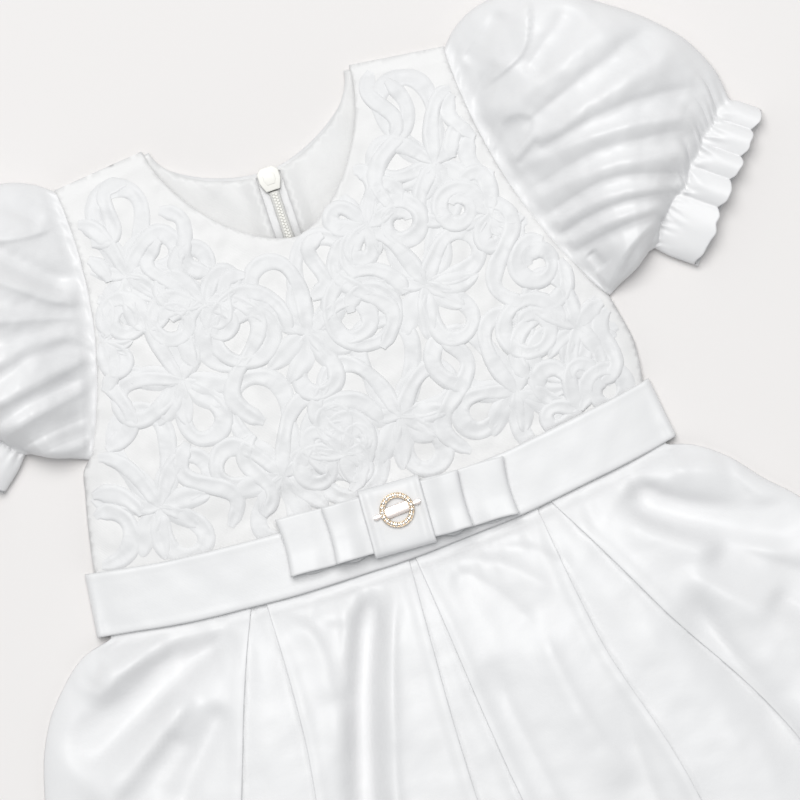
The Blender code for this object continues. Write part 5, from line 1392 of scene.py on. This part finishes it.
def build_bar(low):
    """The bar across the ring: a pillowed strip with a small lobe past each side of the ring."""
    along = np.linspace(-1, 1, BAR_ROWS)[:, None]
    section = circle(BAR_COLUMNS)[None, :]
    reach = np.abs(along) * BAR_LENGTH / 2
    waist = hill(reach - BUCKLE_RADIUS - 0.9, 1.1)
    half = BAR_WIDTH / 2 * (1 - 0.62 * waist) * np.where(reach > BUCKLE_RADIUS - 1.3 + 2.6, 0.55, 1.0)
    half = half * np.sqrt(np.maximum(1 - np.abs(along) ** 14, 0.02))
    c, s = np.cos(section), np.sin(section)
    y = half * np.sign(c) * np.abs(c) ** 0.6
    thick = BAR_THICKNESS / 2 * np.ones_like(half) * np.sign(s) * np.abs(s) ** 0.7
    z = low + BAR_THICKNESS / 2 + 0.06 + thick
    x = along * BAR_LENGTH / 2 * np.ones_like(y)
    points = placed(x, y, z, BUCKLE_TURN, (BUCKLE_X, BUCKLE_Y)).reshape(-1, 3)
    faces = grid_faces(BAR_ROWS, BAR_COLUMNS, True)[:, ::-1].tolist()
    last = (BAR_ROWS - 1) * BAR_COLUMNS
    faces += [list(range(BAR_COLUMNS)), list(reversed(range(last, last + BAR_COLUMNS)))]
    return new_object("buckle_bar_shape", points, faces, BAR, 50)


# Zip


def back_top_z(y):
    x = np.float64(ZIP_X)
    return float(back_inner_z(x, y)) if y > seam_y(x) else float(BELT_LIFT * under_belt(x, y) + SATIN_WALL)


def chain_low(y):
    return max(back_top_z(y + step) for step in (-3.0, -1.5, 0.0, 1.5, 3.0)) + CHAIN_LIFT


def tooth(y, sign):
    """A small block that narrows to its top, on one side of the middle line."""
    low = chain_low(y) + TOOTH_LIFT
    y = y - (TOOTH_PITCH / 2 if sign > 0 else 0.0)
    x0, x1 = ZIP_X - sign * 0.25, ZIP_X + sign * 1.3
    y0, y1 = y - TOOTH_HALF_LENGTH, y + TOOTH_HALF_LENGTH
    base = np.array([(x0, y0), (x1, y0), (x1, y1), (x0, y1)])
    top = mix(base.mean(axis=0), base, 0.7)
    points = [(*place, low) for place in base] + [(*place, low + TOOTH_HEIGHT) for place in top]
    faces = [[3, 2, 1, 0], [4, 5, 6, 7]]
    faces += [[k, (k + 1) % 4, (k + 1) % 4 + 4, k + 4] for k in range(4)]
    return points, faces if sign > 0 else [face[::-1] for face in faces]


def build_zip_chain():
    """Two tape edges with a row of small moulded teeth that meet on the middle line."""
    rows = []
    for y in np.linspace(ZIP_TOP_Y, ZIP_END_Y, 200):
        low = chain_low(y)
        rows.append([(ZIP_X + x, y, low + z) for x, z in TAPE_SECTION])
    tape = cloth_grid("zip_tape_cloth", np.array(rows), 0.3, ZIP_TAPE)
    count = int((ZIP_TOP_Y - ZIP_END_Y - 2) / TOOTH_PITCH)
    teeth = [tooth(ZIP_TOP_Y - 1 - TOOTH_PITCH * i, sign) for i in range(count) for sign in (-1, 1)]
    return tape, joined("zip_teeth", teeth, ZIP_METAL, 30)


def plate(name, outline, low, high, bevel):
    """A flat moulded plate of the zip with softened edges."""
    bm = bmesh.new()
    base = [bm.verts.new((x, y, low)) for x, y in outline]
    face = bm.faces.new(base)
    lifted = bmesh.ops.extrude_face_region(bm, geom=[face])["geom"]
    top = [v for v in lifted if isinstance(v, bmesh.types.BMVert)]
    bmesh.ops.translate(bm, verts=top, vec=(0, 0, high - low))
    bmesh.ops.recalc_face_normals(bm, faces=bm.faces)
    bmesh.ops.bevel(bm, geom=bm.edges[:], offset=bevel, segments=3, affect="EDGES", profile=0.6)
    mesh = bpy.data.meshes.new(name)
    bm.to_mesh(mesh)
    bm.free()
    made = finished(name, mesh, ZIP_METAL, 35)
    mesh.transform(Matrix.Translation(Vector(tuple(SHIFT * MM))) @ Matrix.Scale(MM, 4))
    return made


def build_slider():
    wide, nose = SLIDER_WIDTH / 2, SLIDER_NOSE_WIDTH / 2
    low = max(float(back_inner_z(np.float64(ZIP_X), y)) for y in (SLIDER_Y0, SLIDER_Y1)) + GAP
    waist = mix(SLIDER_Y0, SLIDER_Y1, 0.42)
    shape = [(-nose, SLIDER_Y0), (nose, SLIDER_Y0), (wide, waist), (wide, SLIDER_Y1 - 2.0)]
    shape += [(wide - 2.0, SLIDER_Y1), (-wide + 2.0, SLIDER_Y1), (-wide, SLIDER_Y1 - 2.0), (-wide, waist)]
    shape = [(ZIP_X + x, y) for x, y in shape]
    body = plate("slider_body", shape, low, low + SLIDER_HEIGHT, 0.45)
    inner = [(ZIP_X + (x - ZIP_X) * 0.55, mix(148.4, y, 0.5)) for x, y in shape]
    rib = plate("slider_rib", inner, low + SLIDER_HEIGHT - 0.3, low + SLIDER_HEIGHT + 0.25, 0.2)
    shape = [(0.3, 146.4), (1.7, 146.4), (1.7, 149.6), (0.3, 149.6)]
    neck = plate("slider_neck", shape, 0.14, low + 0.6, 0.1)
    return body, rib, neck


def build_tab():
    half, reach, end = TAB_WIDTH / 2, 1.2, -TAB_LENGTH
    right = [(half - 1.8, end + 0.4), (half, end + 2.4), (half, -7.0), (half - 0.6, -3.0), (half - 0.6, 0.0)]
    outline = [(-x, y) for x, y in reversed(right)] + [(0.0, end)] + right
    outline += [(reach, 0.0), (reach, -3.2), (-reach, -3.2), (-reach, 0.0)]
    thick = TAB_THICKNESS / 2
    tab = plate("tab_body", outline[::-1], -thick, thick, 0.22)
    pin = cylinder_along_x("tab_pin", 0.4, TAB_WIDTH - 1.4)
    turn = Matrix.Rotation(TAB_DROOP, 4, "X")
    shift = Matrix.Translation(Vector(tuple(SHIFT * MM)))
    place = shift @ Matrix.Translation(Vector((ZIP_X, EYE_Y, EYE_Z)) * MM) @ turn @ shift.inverted()
    for piece in (tab, pin):
        piece.data.transform(place)
    return tab, pin


def cylinder_along_x(name, radius, length, around=20):
    ends = [-length / 2, length / 2]
    points = [(x, -0.05 + radius * math.cos(a), radius * math.sin(a)) for x in ends for a in circle(around)]
    faces = []
    for i in range(around):
        j = (i + 1) % around
        faces.append([i, j, j + around, i + around])
    faces += [list(reversed(range(around))), list(range(around, 2 * around))]
    return new_object(name, points, faces, ZIP_METAL, 40)


# Stage, light and camera


def build_stage():
    bpy.ops.mesh.primitive_plane_add(size=FLOOR_SIZE, location=(0, 0, FLOOR_Z))
    floor = bpy.context.object
    floor.name = "floor"
    material, _, shader = node_material("pale_floor")
    shader.inputs["Base Color"].default_value = FLOOR_COLOUR
    shader.inputs["Roughness"].default_value = 0.9
    shader.inputs["Specular IOR Level"].default_value = 0.1
    floor.data.materials.append(material)

    up, right = heading(VIEW_TURN)
    target = (np.array((VIEW_X, VIEW_Y)) + SHIFT[:2]) * MM
    bpy.ops.object.camera_add(location=(*target, VIEW_DISTANCE), rotation=(0, 0, -VIEW_TURN))
    camera = bpy.context.object
    camera.data.sensor_width = SENSOR_WIDTH
    camera.data.lens = SENSOR_WIDTH * VIEW_DISTANCE / (VIEW_WIDTH * MM)
    camera.data.clip_start = 0.01
    bpy.context.scene.camera = camera

    light = bpy.data.lights.new("softbox", "AREA")
    light.shape = "SQUARE"
    light.size = SOFTBOX_SIZE
    light.energy = SOFTBOX_POWER
    light.color = SOFTBOX_COLOUR
    lamp = in_scene("softbox", light)
    lamp.location = (*(target + SOFTBOX_RIGHT * right + SOFTBOX_UP * up), SOFTBOX_Z)
    lamp.rotation_euler = (Vector((*target, 0)) - lamp.location).to_track_quat("-Z", "Y").to_euler()

    sky = bpy.data.worlds.new("studio")
    bpy.context.scene.world = sky
    sky.use_nodes = True
    background = sky.node_tree.nodes["Background"]
    background.inputs["Color"].default_value = SKY_COLOUR
    background.inputs["Strength"].default_value = SKY_STRENGTH
    bpy.context.scene.view_settings.view_transform = "Standard"


def on_dress(piece, slot, *nodes):
    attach(piece, "dress")
    if nodes:
        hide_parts(*nodes)


def build_dress():
    bodice, ribbon = build_bodice()
    on_dress(bodice, "ribbon_net", "bodice_front")
    on_dress(ribbon, "ribbon_net")
    tape, teeth = build_zip_chain()
    on_dress(tape, "zip_tape", "zip_chain")
    on_dress(teeth, "zip_tape")
    for side, back, lining in build_backs():
        on_dress(back, "bodice_satin", f"bodice_back_{side}")
        on_dress(lining, "lining", f"back_lining_{side}")
    for side, sleeve in build_sleeves():
        on_dress(sleeve, "sleeve_satin", f"sleeve_{side}")
    belt = build_belt()
    on_dress(belt, "belt_satin", "belt")
    for name in LOOPS:
        loop = build_loop(name)
        on_dress(loop, "belt_satin", name)
    strap = build_strap()
    on_dress(strap, "belt_satin", "bow_strap")
    skirt = build_skirt_front()
    on_dress(skirt, "skirt_satin", "skirt_front")
    for side, back in build_skirt_backs():
        on_dress(back, "skirt_satin", f"skirt_back_{side}")
    setting, stones, bar = build_buckle()
    on_dress(setting, "buckle_gold", "ring_buckle")
    on_dress(stones, "buckle_gold")
    on_dress(bar, "buckle_gold")
    body, rib, neck = build_slider()
    on_dress(body, "zip_metal", "zip_slider")
    on_dress(rib, "zip_metal")
    on_dress(neck, "zip_metal")
    tab, pin = build_tab()
    for piece in (tab, pin):
        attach(piece, "pull_tab")
    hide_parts("zip_pull")


build_stage()
build_dress()
